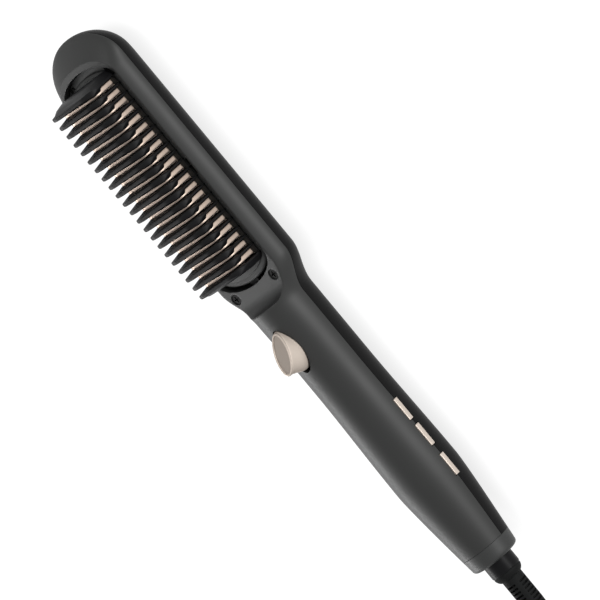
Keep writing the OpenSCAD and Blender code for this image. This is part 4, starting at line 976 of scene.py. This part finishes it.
def relief_slots():
    """Short curved cuts in rows along the bend relief."""
    start = [math.radians(SLOT_START + 360 / SLOT_ROWS * row) for row in range(SLOT_ROWS)]
    slots = []
    for k in range(SLOT_STATIONS):
        x = SLEEVE_X1 + SLOT_FIRST + SLOT_PITCH * k
        for turn in start:
            sector = bmesh.new()
            ring = [sector.verts.new((x + s, r * math.cos(turn), r * math.sin(turn)))
                    for s, r in ((-SLOT_HALF, 3.5), (SLOT_HALF, 3.5), (SLOT_HALF, 9),
                                 (-SLOT_HALF, 9))]
            face = sector.faces.new(ring)
            bmesh.ops.spin(sector, geom=[face] + ring + list(face.edges), cent=(0, 0, 0),
                           axis=(1, 0, 0), angle=math.radians(SLOT_TURN), steps=12)
            bmesh.ops.recalc_face_normals(sector, faces=sector.faces)
            slots.append(sector)
    return joined(*slots)


def add_swivel_end():
    """The handle's end ring, the sleeve that turns in it and the slotted bend relief."""
    corner = BODY_X1 - RING_EDGE_R
    wall_x = CAP_X0 + 3.9
    bm = turned([(SLEEVE_R + 0.05, wall_x), (RING_BORE_R, wall_x), (RING_BORE_R, CAP_X0)]
                + [(handle_r(CAP_X0) - GROOVE, CAP_X0), (handle_r(CAP_X0 + 0.2), CAP_X0 + 0.2)]
                + [(handle_r(x), x) for x in spread(CAP_X0 + 1.5, corner, 4)]
                + arc(handle_r(corner) - RING_EDGE_R, corner, RING_EDGE_R, 15, 90, 8)
                + [(SLEEVE_R + 0.3, BODY_X1), (SLEEVE_R + 0.05, BODY_X1 - 0.3)])
    piece("end_ring", bm, "brush", ["cap_plastic"], ["end_cap"])
    root_x = SLEEVE_X1 - 5
    bm = turned([(0, TAIL_X0), (TAIL_R, TAIL_X0), (TAIL_R, FLANGE_X0), (FLANGE_R, FLANGE_X0),
                 (FLANGE_R, FLANGE_X1), (SLEEVE_R, FLANGE_X1)]
                + arc(SLEEVE_R - 0.5, SLEEVE_X1 - 0.5, 0.5, 0, 90, 4)
                + [(4.15, SLEEVE_X1), (4.15, root_x), (0, root_x)], closed=False)
    piece("sleeve", bm, "swivel", ["sleeve_gloss"], ["swivel_sleeve"])
    bm = turned([(0, root_x), (RELIEF_ROOT_R, root_x), (RELIEF_ROOT_R, SLEEVE_X1),
                 (SLEEVE_R - 0.4, SLEEVE_X1)]
                + arc(SLEEVE_R - 4.86, SLEEVE_X1 - 0.2, 4.68, 12, 48, 8)
                + [(RELIEF_R, SLEEVE_X1 + 3.6), (RELIEF_R, SLEEVE_X1 + 18),
                   (RELIEF_ROOT_R, SPAN - 0.3), (3.8, SPAN), (0, SPAN)],
                closed=False, steps=96)
    bm = carved(bm, relief_slots())
    piece("bend_relief", bm, "swivel", ["relief_rubber"], ["strain_relief"])


add_front_shell()
add_back_shell()
add_comb()
add_plates()
add_trigger()
add_spring()
add_buttons()
add_swivel_end()

# ------------------------------------------------------------------ light and floor

LAMP_DISTANCE = 1.6
WORLD_DIFFUSE = 0.2                     # light on surfaces, where the background looks like 1
FLOOR_DROP = 0.0005
# The painted shadow on the floor: how far it reaches, its darkest glow, and the glow away from the
# brush.
SHADOW_REACH, SHADOW_TONE, PAPER_TONE = 0.008, 0.76, 0.96


def add_lamp(name, direction, width, height, power):
    """A soft rectangular lamp that looks at the brush's middle."""
    data = bpy.data.lights.new(name, "AREA")
    data.shape = "RECTANGLE"
    data.size = width
    data.size_y = height
    data.energy = power
    lamp = bpy.data.objects.new(name, data)
    bpy.context.scene.collection.objects.link(lamp)
    way = Vector(direction).normalized()
    lamp.location = VIEW_CENTRE + way * LAMP_DISTANCE
    lamp.rotation_mode = "QUATERNION"
    lamp.rotation_quaternion = (-way).to_track_quat("-Z", "Y")


def background_seen(nodes, links):
    """1 where the camera, a reflection or glass looks at the background, else 0."""
    path = nodes.new("ShaderNodeLightPath")
    seen = calculate(nodes, links, "MAXIMUM", path.outputs["Is Camera Ray"],
                     path.outputs["Is Glossy Ray"])
    return calculate(nodes, links, "MAXIMUM", seen, path.outputs["Is Transmission Ray"])


def add_world():
    """A white background, which lights the brush less than it looks."""
    world = bpy.data.worlds.new("studio")
    world.use_nodes = True
    nodes, links = world.node_tree.nodes, world.node_tree.links
    background = nodes["Background"]
    links.new(ranged(nodes, links, background_seen(nodes, links), WORLD_DIFFUSE, 1),
              background.inputs["Strength"])
    background.inputs["Color"].default_value = (1, 1, 1, 1)
    bpy.context.scene.world = world


def add_floor():
    """Pale paper that glows, with a painted shadow: its glow is darker where the brush lies close
    over it.
    """
    bm = bmesh.new()
    bmesh.ops.create_grid(bm, x_segments=1, y_segments=1, size=3)
    mesh = bpy.data.meshes.new("floor")
    bm.to_mesh(mesh)
    bm.free()
    floor = bpy.data.objects.new("floor", mesh)
    floor.location.z = -FLOOR_DROP
    bpy.context.scene.collection.objects.link(floor)
    material = bpy.data.materials.new("floor_paper")
    material.use_nodes = True
    nodes, links = material.node_tree.nodes, material.node_tree.links
    plain = nodes["Principled BSDF"]
    plain.inputs["Base Color"].default_value = (0.2, 0.2, 0.2, 1)
    plain.inputs["Roughness"].default_value = 0.9
    plain.inputs["Specular IOR Level"].default_value = 0
    plain.inputs["Emission Color"].default_value = (1, 1, 1, 1)
    # Ambient occlusion dims the glow near the brush, which paints a tight shadow round it.
    open_sky = nodes.new("ShaderNodeAmbientOcclusion")
    open_sky.inputs["Distance"].default_value = SHADOW_REACH
    links.new(calculate(nodes, links, "MULTIPLY", background_seen(nodes, links),
                        ranged(nodes, links, open_sky.outputs["AO"], SHADOW_TONE,
                               PAPER_TONE)),
              plain.inputs["Emission Strength"])
    mesh.materials.append(material)


add_world()
add_floor()
add_lamp("overhead", (-0.62, -0.05, 1.0), width=0.4, height=0.4, power=5)
add_lamp("button_side", (0.0, 1.0, 0.10), width=1.5, height=0.3, power=24)
add_lamp("far_side", (0.2, -0.92, 0.36), width=1.3, height=0.3, power=18)
bpy.context.scene.view_settings.view_transform = "Standard"
